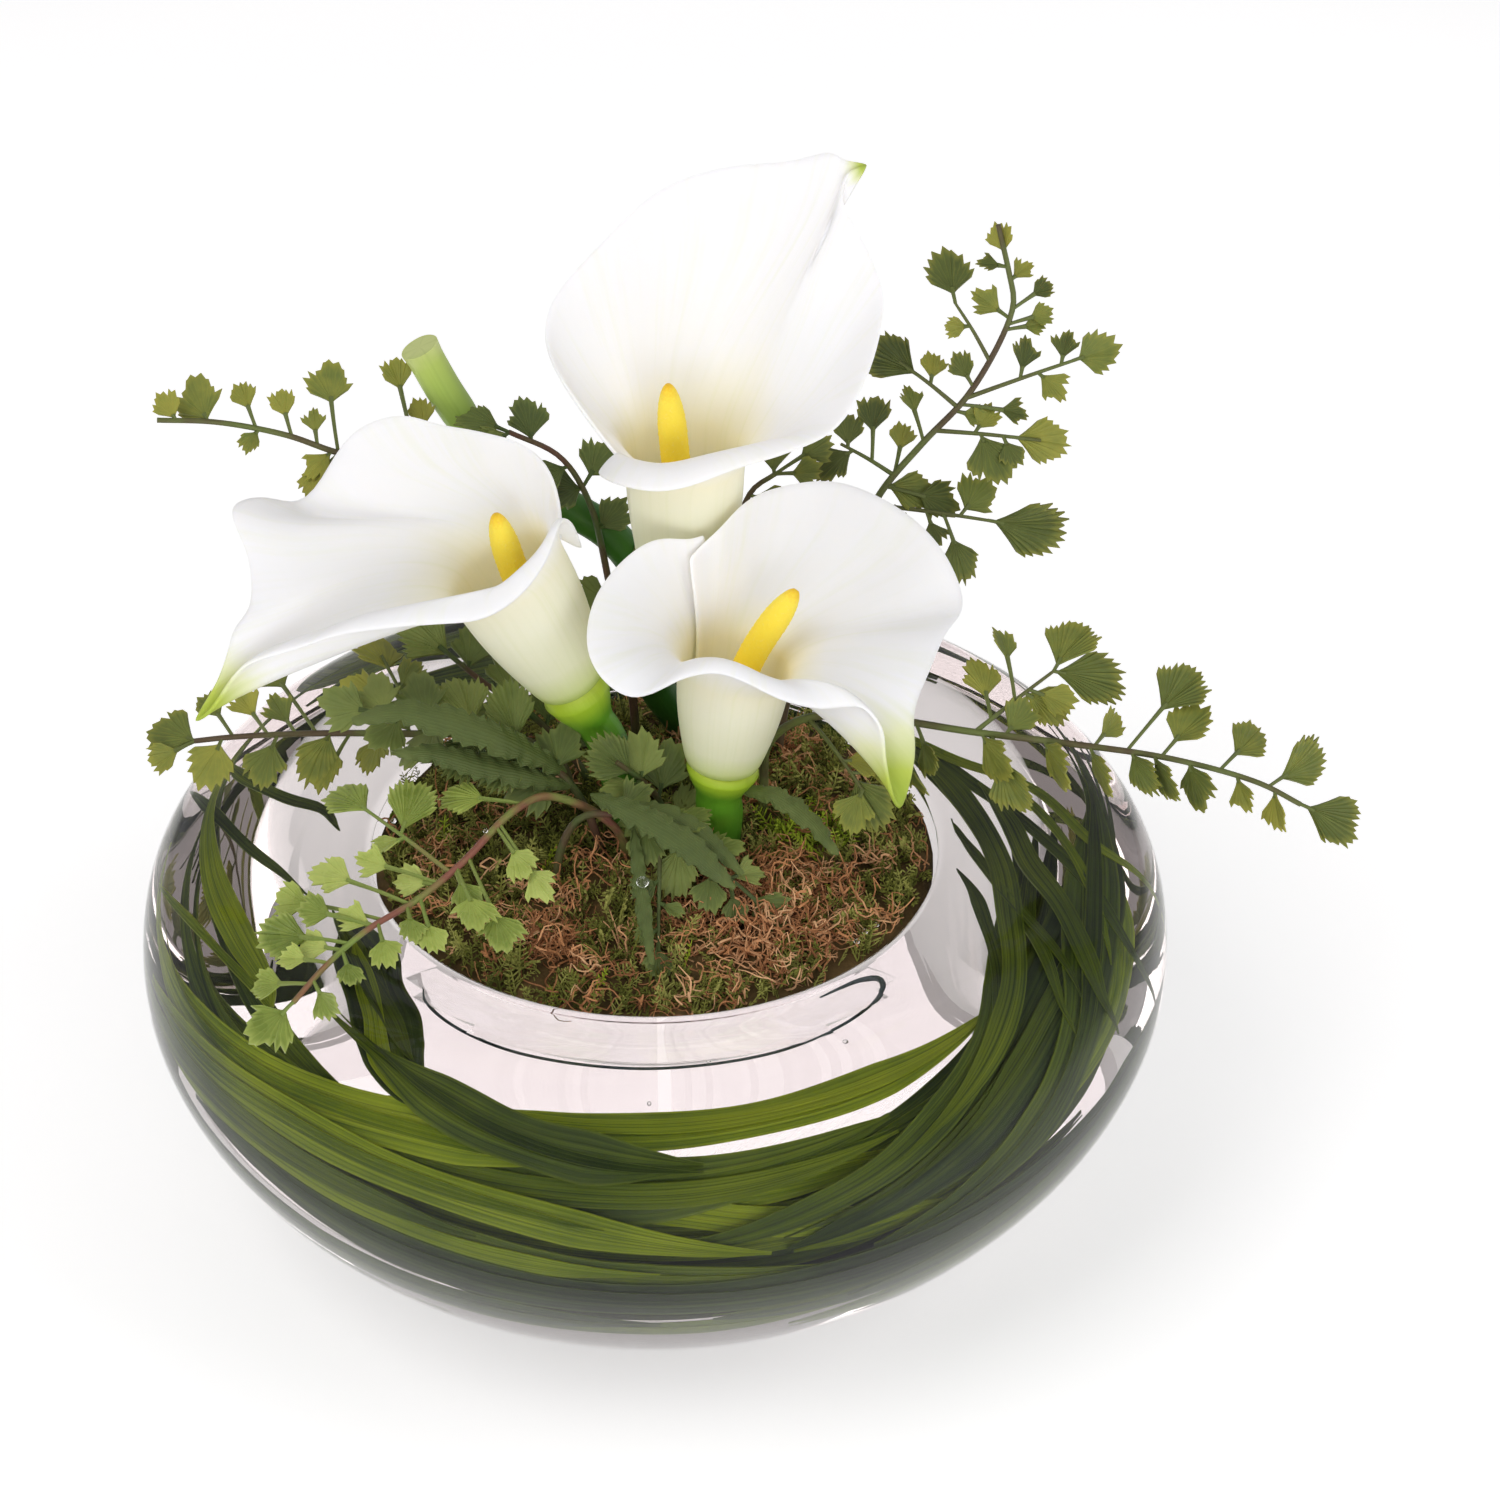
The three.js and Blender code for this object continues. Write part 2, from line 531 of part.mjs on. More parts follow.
// A rib that knows its points by length, on the same straight spans as its rod, and the
// direction across its spray's plane.
function ribGuide(points, steps, facing) {
  const curve = new THREE.CatmullRomCurve3(points, false, 'centripetal');
  const length = curve.getLength();
  const knots = Array.from({ length: steps + 1 }, (_, k) => curve.getPointAt(k / steps));
  const locate = (s) => {
    const along = Math.min(Math.max(s / length, 0), 0.9999) * steps;
    return [Math.floor(along), along % 1];
  };
  const ahead = (s) => {
    const [k] = locate(s);
    return knots[k + 1].clone().sub(knots[k]).normalize();
  };
  return {
    length,
    ahead,
    at: (s) => {
      const [k, share] = locate(s);
      return knots[k].clone().lerp(knots[k + 1], share);
    },
    aside: (s) => new THREE.Vector3().crossVectors(facing, ahead(s)).normalize(),
  };
}

// Leaflets that would meet another piece are turned about their foot until they are clear.
const TILTS = [0, 22, -22, 44, -44, 66, -66, 88];

function leafletSolid(guide, offset, [along, aside, width], facing, random, sisters) {
  const s = along + offset;
  const back = aside === 0 ? width / 2 + 1.5 : Math.abs(aside) * 0.55;
  const footAt = Math.min(s - back, guide.length - 0.3);
  const foot = guide.at(footAt);
  const centre = guide.at(s).addScaledVector(guide.ahead(s), Math.max(s - guide.length, 0))
    .addScaledVector(guide.aside(s), aside);
  const reach = Math.max(foot.distanceTo(centre) - width / 2, 1.2);
  const lean = mix(-16, 16, random());
  const roll = mix(-24, 24, random());
  for (const scale of [1, 0.75]) {
    for (const tilt of TILTS) {
      const ahead = centre.clone().sub(foot).normalize();
      const hinge = new THREE.Vector3().crossVectors(facing, ahead).normalize();
      ahead.applyAxisAngle(hinge, rad(lean * 0.5 + tilt));
      const sideways = hinge.clone().applyAxisAngle(ahead, rad(roll));
      const make = (grow) => plateSolid(leafletOutline(reach, width * scale + grow), foot, ahead,
        sideways, LEAFLET + grow);
      const wide = make(2 * GAP);
      if (sharedVolume(wide, placed) < 1e-6 && sharedVolume(wide, sisters) < SISTER_OVERLAP) {
        const leaflet = make(0);
        sisters.push({ solid: leaflet, box: leaflet.boundingBox() });
        return leaflet;
      }
    }
  }
  return null;
}

function ribSteps(fern) {
  const curve = new THREE.CatmullRomCurve3(fern.rib.map(vec));
  return Math.round(curve.getLength() / RIB_STEP);
}

function fernSolid(fern) {
  const random = seeded(fern.seed);
  const facing = vec(fern.facing).normalize();
  const rib = ribGuide(fern.rib.map(vec), ribSteps(fern), facing);
  const sisters = [];
  const radiusAt = (share) => mix(RIB_RADIUS.foot, RIB_RADIUS.tip, share);
  let solid = rod(fern.rib, radiusAt, 4, ribSteps(fern));
  const join = (piece) => {
    if (piece) {
      solid = solid.add(piece);
    }
  };
  fern.leaflets.forEach((row) => join(leafletSolid(rib, fern.root, row, facing, random, sisters)));
  for (const stalk of fern.stalks) {
    const foot = rib.at(stalk.from + fern.root);
    const endAt = stalk.to[0] + fern.root;
    const end = rib.at(endAt).addScaledVector(rib.aside(endAt), stalk.to[1]);
    const bend = foot.clone().lerp(end, 0.5).addScaledVector(facing, 1.2);
    const points = [foot, bend, end];
    join(rod(points.map((p) => p.toArray()), () => RIB_RADIUS.stalk, 3, STALK_STEPS));
    const guide = ribGuide(points, STALK_STEPS, facing);
    stalk.leaflets.forEach((row) => join(leafletSolid(guide, 0, row, facing, random, sisters)));
  }
  return solid;
}

// ---------- coiled leaves ----------
// Paths along the bowl's inner wall: [azimuth in degrees, share of the wall's height line].
// Layer 0 lies against the glass, and each further layer one pitch further in.
const BLADES = [
  { name: 'crossing', layer: 0, width: 11, colour: COLOUR.blade,
    path: [[-141, 0.82], [-128, 0.79], [-118, 0.75], [-108, 0.71], [-97, 0.68], [-85, 0.665]] },
  { name: 'bright_rib', layer: 0, width: 9, colour: COLOUR.brightBlade,
    path: [[-168, 0.55], [-150, 0.565], [-136, 0.58], [-122, 0.575], [-108, 0.56], [-96, 0.535],
      [-78, 0.49]] },
  { name: 'thin_left', layer: 0, width: 6.5, colour: COLOUR.blade,
    path: [[150, 0.72], [168, 0.73], [184, 0.76], [200, 0.78], [212, 0.765], [216.5, 0.71]] },
  { name: 'right_wisp', layer: 0, width: 5.5, colour: COLOUR.blade,
    path: [[16, 0.93], [4, 0.91], [-8, 0.88], [-17, 0.81], [-23, 0.74], [-27, 0.65], [-27, 0.56]] },
  { name: 'left_band', layer: 1, width: 10, colour: COLOUR.brightBlade,
    path: [[-186, 0.63], [-172, 0.6], [-156, 0.59], [-142, 0.61], [-130, 0.645], [-118, 0.675],
      [-104, 0.69], [-90, 0.69]] },
  { name: 'low_band', layer: 0, width: 13, colour: COLOUR.darkBlade,
    path: [[-152, 0.485], [-139, 0.47], [-124, 0.44], [-108, 0.42], [-92, 0.412], [-76, 0.412],
      [-62, 0.42], [-48, 0.44], [-34, 0.47], [-22, 0.5]] },
  { name: 'right_sweep', layer: 1, width: 7, colour: COLOUR.blade,
    path: [[-91, 0.508], [-82, 0.52], [-74, 0.545], [-64, 0.59], [-55, 0.66], [-46, 0.74],
      [-38, 0.81], [-30, 0.87], [-20, 0.91]] },
  { name: 'right_outer', layer: 1, width: 12, colour: COLOUR.blade,
    path: [[-66, 0.455], [-53, 0.49], [-42, 0.545], [-33, 0.625], [-25, 0.7], [-14, 0.75],
      [-2, 0.76], [12, 0.73], [26, 0.7]] },
  { name: 'top_front', layer: 2, width: 8, colour: COLOUR.brightBlade,
    path: [[-124, 0.72], [-104, 0.745], [-86, 0.76], [-70, 0.775], [-54, 0.79], [-41, 0.805]] },
  { name: 'middle_band', layer: 2, width: 13, colour: COLOUR.blade,
    path: [[-186, 0.71], [-176, 0.685], [-166, 0.66], [-150, 0.625], [-134, 0.605], [-116, 0.6],
      [-100, 0.61], [-86, 0.625], [-74, 0.655], [-62, 0.695]] },
  { name: 'broad_right', layer: 2, width: 14, colour: COLOUR.darkBlade,
    path: [[-76, 0.48], [-62, 0.53], [-52, 0.59], [-43, 0.66], [-34, 0.715], [-22, 0.745],
      [-8, 0.74], [8, 0.72], [24, 0.68]] },
  { name: 'under_band', layer: 1, width: 10, colour: COLOUR.blade,
    path: [[-164, 0.52], [-150, 0.505], [-130, 0.49], [-112, 0.475], [-97, 0.457], [-84, 0.447],
      [-70, 0.44]] },
  { name: 'left_rise', layer: 3, width: 5, colour: COLOUR.blade,
    path: [[128, 0.6], [146, 0.64], [164, 0.69], [180, 0.74], [196, 0.76], [212, 0.73],
      [226, 0.68], [240, 0.63], [252, 0.59]] },
  { name: 'right_inner', layer: 3.15, width: 5.5, colour: COLOUR.blade,
    path: [[-88, 0.5], [-74, 0.52], [-62, 0.57], [-52, 0.64], [-43, 0.72], [-35, 0.79],
      [-25, 0.85], [-12, 0.88], [4, 0.87]] },
  { name: 'back_right', layer: 0, width: 12, colour: COLOUR.darkBlade,
    path: [[-12, 0.58], [6, 0.56], [24, 0.54], [44, 0.53], [64, 0.54], [84, 0.57], [104, 0.61],
      [124, 0.66]] },
  { name: 'back_left', layer: 1, width: 12, colour: COLOUR.blade,
    path: [[30, 0.64], [48, 0.6], [68, 0.56], [88, 0.53], [108, 0.5], [130, 0.49], [152, 0.5],
      [174, 0.52]] },
];

function bladeSolid(blade) {
  const inset = BLADE.firstLayer + blade.layer * BLADE.layerPitch;
  const knots = blade.path.map(([azimuth, share]) => V(azimuth, share * 100, 0));
  const line = new THREE.CatmullRomCurve3(knots, false, 'centripetal');
  const onWall = (azimuth, share, deep) => {
    const [r, z] = insetWall(share, deep);
    return V(r * Math.cos(rad(azimuth)), r * Math.sin(rad(azimuth)), z);
  };
  const span = Math.abs(blade.path[blade.path.length - 1][0] - blade.path[0][0]);
  const steps = Math.round(span * rad(1) * innerEquator / BLADE.step) + 2;
  const rings = [];
  for (let k = 0; k <= steps; k++) {
    const t = k / steps;
    const here = line.getPoint(t);
    const next = line.getPoint(Math.min(t + 0.01, 1));
    const last = line.getPoint(Math.max(t - 0.01, 0));
    // Half width, drawn out to a point at each end.
    const half = (blade.width / 2) * Math.max(Math.min(1, Math.sin(Math.PI * t) * 2.2), 0.14);
    const from = onWall(last.x, last.y / 100, inset);
    const to = onWall(next.x, next.y / 100, inset);
    const share = here.y / 100;
    const wallUp = onWall(here.x, share + 0.01, inset).sub(onWall(here.x, share - 0.01, inset));
    const shareStep = 0.02 / wallUp.length();
    const round = V(-Math.sin(rad(here.x)), Math.cos(rad(here.x)), 0);
    const course = to.sub(from).normalize();
    const slope = Math.atan2(course.dot(wallUp.normalize()), course.dot(round));
    const radius = insetWall(share, inset)[0];
    const ring = [];
    const across = [-1, 0, 1];
    const edge = (side, deep) => {
      const azimuth = here.x - (side * half * Math.sin(slope) / radius) * (180 / Math.PI);
      return onWall(azimuth, share + side * half * Math.cos(slope) * shareStep, inset + deep);
    };
    for (const side of across) {
      ring.push(edge(side, -BLADE.thick / 2));
    }
    for (const side of across.reverse()) {
      ring.push(edge(side, BLADE.thick / 2));
    }
    rings.push(ring);
  }
  const solid = loft(rings);
  return solid.volume() < 0 ? loft(rings.reverse()) : solid;
}

// ---------- moss ----------
function mossSolid(holes) {
  const bump = (x, y) => MOSS.bump * (
    Math.sin(x * 0.31 + 1.7) * Math.cos(y * 0.27 - 0.4)
    + 0.6 * Math.sin(x * 0.73 - y * 0.52) + 0.5 * Math.cos(y * 0.83 + x * 0.29));
  const profileHeight = (share) => mix(MOSS.crown, MOSS.edge, share ** 2);
  const rings = [];
  const ringOf = (radius, heightAt) => Array.from({ length: MOSS.segments }, (_, i) => {
    const turn = (2 * Math.PI * i) / MOSS.segments;
    const x = radius * Math.cos(turn);
    const y = radius * Math.sin(turn);
    return V(x, y, heightAt(x, y));
  });
  rings.push(ringOf(59.5, () => MOSS.bottom));
  rings.push(ringOf(MOSS.radius, () => 87));
  for (let k = MOSS.rings; k >= 1; k--) {
    const share = k / MOSS.rings;
    rings.push(ringOf(MOSS.radius * share, (x, y) => profileHeight(share) + bump(x, y)));
  }
  let solid = loft(rings);
  for (const hole of holes) {
    solid = solid.subtract(hole);
  }
  return solid;
}

// ---------- assembly ----------

// Each stem and rib stands in a plain hole of its own shape, wider by the gap all round.
const holes = [
  ...CALLAS.map((calla) => stemSolid(calla, HOLE_GROWTH)),
  cutStemSolid(HOLE_GROWTH),
  ...FERNS.map((fern) => rod(fern.rib.slice(0, 3), () => RIB_RADIUS.foot + FERN_HOLE_GROWTH, 4, 3)),
];

addNode('moss_mound', mossSolid(holes), COLOUR.moss, 0.95);
for (const calla of CALLAS) {
  addNode(`calla_${calla.name}_stem`, stemSolid(calla), COLOUR.stem, 0.5);
  addNode(`calla_${calla.name}_spathe`, spatheSolid(calla), COLOUR.spathe, 0.55);
  addNode(`calla_${calla.name}_spadix`, spadixSolid(calla), COLOUR.spadix, 0.6);
}
addNode('cut_stem', cutStemSolid(0), COLOUR.cutStem, 0.5);
for (const blade of BLADES) {
  addNode(`leaf_${blade.name}`, bladeSolid(blade), blade.colour, 0.5);
}
for (const fern of FERNS) {
  addNode(`fern_${fern.name}`, fernSolid(fern), fern.colour, 0.7);
}

export default group;
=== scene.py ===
# Table centrepiece: three calla lilies and fern sprays standing in moss, in a low round clear
# bowl filled with clear resin, with long leaves coiled inside it.
# The shapes are worked out in millimetres and laid down in metres. +Z is up, the front faces
# -Y, and the origin is the centre of the bowl's foot.
import math
import random

import bpy
from mathutils import Matrix, Vector, noise


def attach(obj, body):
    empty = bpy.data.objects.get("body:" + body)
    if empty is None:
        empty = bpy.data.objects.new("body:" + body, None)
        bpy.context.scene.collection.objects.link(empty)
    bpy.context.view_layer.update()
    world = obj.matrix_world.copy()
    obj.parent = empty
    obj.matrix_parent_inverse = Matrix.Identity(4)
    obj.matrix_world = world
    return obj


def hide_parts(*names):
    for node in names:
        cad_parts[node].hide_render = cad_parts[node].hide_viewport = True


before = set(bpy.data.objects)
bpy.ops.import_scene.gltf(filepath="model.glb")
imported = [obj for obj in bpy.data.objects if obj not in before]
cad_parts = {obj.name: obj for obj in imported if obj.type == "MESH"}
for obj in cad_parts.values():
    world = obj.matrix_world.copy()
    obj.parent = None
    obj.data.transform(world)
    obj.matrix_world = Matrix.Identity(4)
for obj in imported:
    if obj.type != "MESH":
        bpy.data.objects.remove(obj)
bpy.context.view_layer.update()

MM = 0.001
FULL_TURN = 2 * math.pi
RANDOM_TURN = 6.28           # the widest random turn, in radians
WELD_GAP = 2e-6              # points closer than this, in metres, become one

# ---------- camera, lamps and main sizes ----------
CAMERA_PLACE = (0.0, -1.0382, 0.8494)      # in metres
CAMERA_PITCH = 35.002        # degrees down
CAMERA_YAW = 1.295           # degrees to the right
CAMERA_LENS = 125.2
CAMERA_SENSOR = 36.0
# Soft lamps: place, the point each is aimed at and size, in metres, then watts and tint.
LAMPS = {
    "key": ((-1.2, -0.9, 1.9), (0, 0, 0.1), (1.6, 1.6), 19.5, (1.0, 0.99, 0.985)),
    "fill": ((1.7, -0.5, 1.3), (0, 0, 0.1), (1.4, 1.4), 10.5, (0.99, 0.99, 1.0)),
    "front": ((0.1, -1.9, 0.45), (0, 0, 0.12), (1.8, 0.7), 13.5, (1.0, 1.0, 1.0)),
}
HORIZON_LIGHT = (0.95, 0.95, 1.0)
OVERHEAD_LIGHT = (0.56, 0.56, 0.56)
SURROUND_STRENGTH = 0.60
FLOOR_SIZE = 14.0

BOWL = {
    "equator_radius": 127.0, "equator_height": 67.0, "foot_radius": 71.4, "wall": 4.1,
    "floor": 8.0, "floor_radius": 62, "mouth_radius": 69.6, "lip_radius": 2.0,
    "lip_height": 95.8, "turns": 144, "steps": 40,
}
LEAF_SHEET = 0.4             # thickness of a long or toothed leaf
MOSS = {"radius": 68.6, "crown": 101.0, "edge": 92.0, "underside": 84.0, "bottom": 72.0}


# ---------- small tools ----------
def deselect():
    bpy.ops.object.select_all(action="DESELECT")


def pick(*pieces):
    """Selects these pieces alone; the last is the active one."""
    deselect()
    for piece in pieces:
        piece.select_set(True)
    bpy.context.view_layer.objects.active = pieces[-1]


def mix(a, b, share):
    return a + (b - a) * share


def clamp(value, low=0.0, high=1.0):
    return max(low, min(high, value))


def smooth_step(edge0, edge1, value):
    t = clamp((value - edge0) / (edge1 - edge0))
    return t * t * (3 - 2 * t)


def flat(r, z):
    """A point of the bowl's section: distance from its axis, and height."""
    return Vector((r, z, 0.0))


def round_at(radius, turn, height):
    """The point at a radius and a height, turned round the bowl's axis by a turn in radians."""
    return Vector((radius * math.cos(turn), radius * math.sin(turn), height))


# ---------- smooth courses ----------
class Course:
    """A smooth path through points, known by the distance along it, with an untwisted frame."""

    def __init__(self, points, fine=16):
        knots = [Vector(p) for p in points]
        first = knots[0] * 2 - knots[1]
        last = knots[-1] * 2 - knots[-2]
        line = [first, *knots, last]
        self.points = []
        for k in range(1, len(line) - 2):
            for step in range(fine):
                self.points.append(self.span(line[k - 1:k + 3], step / fine))
        self.points.append(knots[-1])
        self.marks = [0.0]
        for a, b in zip(self.points, self.points[1:]):
            self.marks.append(self.marks[-1] + (b - a).length)
        self.length = self.marks[-1]
        heading = (self.points[1] - self.points[0]).normalized()
        side = heading.orthogonal().normalized()
        self.sides = [side]
        beyond = self.points[-1] * 2 - self.points[-2]
        for a, b in zip(self.points[1:], [*self.points[2:], beyond]):
            heading = (b - a).normalized()
            side = (side - heading * side.dot(heading)).normalized()
            self.sides.append(side)

    @staticmethod
    def span(four, t):
        """A centripetal Catmull-Rom span between the middle two of four points."""
        gaps = [max((b - a).length, 1e-6) ** 0.5 for a, b in zip(four, four[1:])]
        t0, t1 = 0.0, gaps[0]
        t2 = t1 + gaps[1]
        t3 = t2 + gaps[2]
        t = mix(t1, t2, t)
        a1 = four[0] * ((t1 - t) / (t1 - t0)) + four[1] * ((t - t0) / (t1 - t0))
        a2 = four[1] * ((t2 - t) / (t2 - t1)) + four[2] * ((t - t1) / (t2 - t1))
        a3 = four[2] * ((t3 - t) / (t3 - t2)) + four[3] * ((t - t2) / (t3 - t2))
        b1 = a1 * ((t2 - t) / (t2 - t0)) + a2 * ((t - t0) / (t2 - t0))
        b2 = a2 * ((t3 - t) / (t3 - t1)) + a3 * ((t - t1) / (t3 - t1))
        return b1 * ((t2 - t) / (t2 - t1)) + b2 * ((t - t1) / (t2 - t1))

    def find(self, distance):
        distance = clamp(distance, 0.0, self.length)
        low, high = 0, len(self.marks) - 2
        while low < high:
            middle = (low + high + 1) // 2
            if self.marks[middle] <= distance:
                low = middle
            else:
                high = middle - 1
        share = (distance - self.marks[low]) / max(self.marks[low + 1] - self.marks[low], 1e-9)
        return low, share

    def at(self, distance):
        k, share = self.find(distance)
        return self.points[k].lerp(self.points[k + 1], share)

    def ahead(self, distance):
        k, _ = self.find(distance)
        a = self.points[max(k - 1, 0)]
        b = self.points[min(k + 2, len(self.points) - 1)]
        return (b - a).normalized()

    def side(self, distance):
        k, share = self.find(distance)
        side = self.sides[k].lerp(self.sides[min(k + 1, len(self.sides) - 1)], share)
        heading = self.ahead(distance)
        return (side - heading * side.dot(heading)).normalized()


def bezier(a, b, c, d, t):
    s = 1 - t
    return a * s ** 3 + b * (3 * s * s * t) + c * (3 * s * t * t) + d * t ** 3


def through(values, place):
    """A smooth reading of a list of rows at a fractional place in it."""
    last = len(values) - 1
    k = int(clamp(math.floor(place), 0, last - 1))
    t = place - k
    rows = [values[max(k - 1, 0)], values[k], values[k + 1], values[min(k + 2, last)]]
    out = []
    for p0, p1, p2, p3 in zip(*rows):
        out.append(0.5 * (2 * p1 + (p2 - p0) * t + (2 * p0 - 5 * p1 + 4 * p2 - p3) * t * t
                          + (3 * p1 - p0 - 3 * p2 + p3) * t ** 3))
    return out


# ---------- pieces ----------
def named(name):
    """Names the piece that was just made, and its mesh."""
    piece = bpy.context.object
    piece.name = name
    piece.data.name = name
    return piece


def weld(gap, outward=True):
    """Makes one of the active piece's points that lie within a gap, in metres."""
    bpy.ops.object.mode_set(mode="EDIT")
    bpy.ops.mesh.select_all(action="SELECT")
    bpy.ops.mesh.remove_doubles(threshold=gap)
    if outward:
        bpy.ops.mesh.normals_make_consistent(inside=False)
    bpy.ops.object.mode_set(mode="OBJECT")


def laid_grid(name, across, along, place, seam=False):
    """A grid whose every point is carried to place(u, v), in mm, with u and v from 0 to 1."""
    deselect()
    bpy.ops.mesh.primitive_grid_add(x_subdivisions=across, y_subdivisions=along, size=1.0)
    piece = named(name)
    for vertex in piece.data.vertices:
        vertex.co = place(vertex.co.x + 0.5, vertex.co.y + 0.5) * MM
    if seam:
        weld(WELD_GAP)
    return piece


def finish_with(piece, kind, **settings):
    """Adds a modifier and applies it."""
    pick(piece)
    made = piece.modifiers.new(kind.title(), kind)
    for key, value in settings.items():
        setattr(made, key, value)
    bpy.ops.object.modifier_apply(modifier=made.name)


def thickened(piece, thickness, offset=0.0):
    """Gives a sheet its thickness, about its middle unless the offset says otherwise."""
    finish_with(piece, "SOLIDIFY", thickness=thickness, offset=offset)


def smooth(piece, angle):
    pick(piece)
    bpy.ops.object.shade_smooth_by_angle(angle=math.radians(angle))


def rod(name, points, radius_at, sides, steps):
    """A closed round rod along a course. radius_at takes the share of the length and the turn."""
    course = points if isinstance(points, Course) else Course(points)
    rows = steps + 2

    def place(u, v):
        row = round(v * rows)
        share = clamp((row - 1) / steps)
        distance = share * course.length
        centre = course.at(distance)
        if row in (0, rows):
            return centre
        heading = course.ahead(distance)
        side = course.side(distance)
        turn = FULL_TURN * u
        out = side * math.cos(turn) + heading.cross(side) * math.sin(turn)
        return centre + out * radius_at(share, turn)

    return laid_grid(name, sides, rows, place, seam=True)


def joined(name, pieces):
    pick(*pieces)
    if len(pieces) > 1:
        bpy.ops.object.join()
    return named(name)


def mark(piece, name, value):
    """Gives every point of a piece a number, the same or from value(point in mm)."""
    layer = piece.data.attributes.new(name, "FLOAT", "POINT")
    if callable(value):
        numbers = [value(vertex.co / MM) for vertex in piece.data.vertices]
    else:
        numbers = [value] * len(piece.data.vertices)
    layer.data.foreach_set("value", numbers)


def settle(piece, slot_name, *nodes):
    """The piece rides on the one body and stands for its solids, which it hides; the slot name is
    not used.
    """
    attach(piece, "root")
    if nodes:
        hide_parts(*nodes)


def wear(piece, *finishes):
    """Puts finishes in the piece's material slots."""
    piece.data.materials.clear()
    for each in finishes:
        piece.data.materials.append(each.material)


def dress(piece, finish, angle, slot_name, *nodes):
    """Finishes a piece, shades it smooth up to an angle in degrees, and settles it."""
    wear(piece, finish)
    smooth(piece, angle)
    settle(piece, slot_name, *nodes)


# ---------- finishes ----------
class Reading:
    """A node's output that sums and products can be written with."""

    def __init__(self, finish, socket):
        self.finish = finish
        self.socket = socket

    def maths(self, operation, a, b=0.0):
        made = self.finish.node("ShaderNodeMath", {"operation": operation}, {0: a, 1: b})
        return Reading(self.finish, made.outputs[0])

    def __add__(self, other):
        return self.maths("ADD", self, other)

    def __radd__(self, other):
        return self.maths("ADD", other, self)

    def __sub__(self, other):
        return self.maths("SUBTRACT", self, other)

    def __rsub__(self, other):
        return self.maths("SUBTRACT", other, self)

    def __mul__(self, other):
        return self.maths("MULTIPLY", self, other)

    def __rmul__(self, other):
        return self.maths("MULTIPLY", other, self)

    def sine(self):
        return self.maths("SINE", self)

    def between(self, low, high):
        """0 at low, 1 at high, held to that range."""
        made = self.finish.node(
            "ShaderNodeMapRange", {"interpolation_type": "SMOOTHSTEP"},
            {"Value": self, "From Min": low, "From Max": high},
        )
        return Reading(self.finish, made.outputs[0])


class Finish:
    """One material, built up round its main shader."""

    def __init__(self, name, **plain):
        self.material = bpy.data.materials.new(name)
        self.material.use_nodes = True
        self.tree = self.material.node_tree
        self.shader = self.tree.nodes["Principled BSDF"]
        for key, value in plain.items():
            self.shader.inputs[key.replace("_", " ")].default_value = value

    def node(self, kind, settings=None, values=None):
        made = self.tree.nodes.new(kind)
        for key, value in (settings or {}).items():
            if key == "stops":
                self.set_stops(made.color_ramp, value)
            else:
                setattr(made, key, value)
        for key, value in (values or {}).items():
            self.feed(made.inputs[key], value)
        return made

    def set_stops(self, ramp, stops):
        while len(ramp.elements) < len(stops):
            ramp.elements.new(0.5)
        for element, (position, colour) in zip(ramp.elements, stops):
            element.position = position
            element.color = (*colour, 1.0)

    def feed(self, socket, value):
        if isinstance(value, Reading):
            self.tree.links.new(value.socket, socket)
        elif isinstance(value, tuple) and socket.type == "RGBA" and len(value) == 3:
            socket.default_value = (*value, 1.0)
        else:
            socket.default_value = value

    def where(self):
        """The place on the piece, in metres."""
        return Reading(self, self.node("ShaderNodeTexCoord").outputs["Object"])

    def grain(self, stretch=(1.0, 1.0, 1.0)):
        """The place on the piece's own map: across it, then along it, both stretched."""
        made = self.node("ShaderNodeUVMap")
        scaled = self.node("ShaderNodeMapping", None, {"Scale": stretch})
        self.tree.links.new(made.outputs[0], scaled.inputs["Vector"])
        return Reading(self, scaled.outputs[0])

    def across_along(self):
        split = self.node("ShaderNodeSeparateXYZ", None, {0: self.grain()})
        return Reading(self, split.outputs[0]), Reading(self, split.outputs[1])

    def marked(self, name):
        made = self.node("ShaderNodeAttribute", {"attribute_name": name})
        return Reading(self, made.outputs["Fac"])

    def noise(self, at, scale, detail=3.0, roughness=0.55):
        made = self.node("ShaderNodeTexNoise", None,
                         {"Vector": at, "Scale": scale, "Detail": detail, "Roughness": roughness})
        return Reading(self, made.outputs[0])

    def ramp(self, value, stops):
        made = self.node("ShaderNodeValToRGB", {"stops": stops}, {0: value})
        return Reading(self, made.outputs[0])

    def blend(self, share, a, b, way="MIX"):
        made = self.node("ShaderNodeMix", {"data_type": "RGBA", "blend_type": way},
                         {0: share, 6: a, 7: b})
        return Reading(self, made.outputs[2])

    def colour(self, value):
        self.feed(self.shader.inputs["Base Color"], value)

    def rough(self, value):
        self.feed(self.shader.inputs["Roughness"], value)

    def bump(self, height, distance, strength):
        made = self.node("ShaderNodeBump", None,
                         {"Height": height, "Distance": distance, "Strength": strength})
        self.tree.links.new(made.outputs[0], self.shader.inputs["Normal"])


def clear_finish(name, ior, tint, haze=0.0, shine=1.0):
    """Clear glass or resin, with a very faint unevenness in its polish and tint."""
    made = Finish(name, IOR=ior, Transmission_Weight=1.0, Roughness=0.0,
                  Specular_Tint=(shine, shine, shine, 1.0))
    patches = made.noise(made.where(), 35.0, 2.0)
    if haze:
        made.rough(patches * haze)
    paler = tuple(clamp(c + 0.006) for c in tint)
    made.colour(made.blend(patches, tint, paler))
    return made


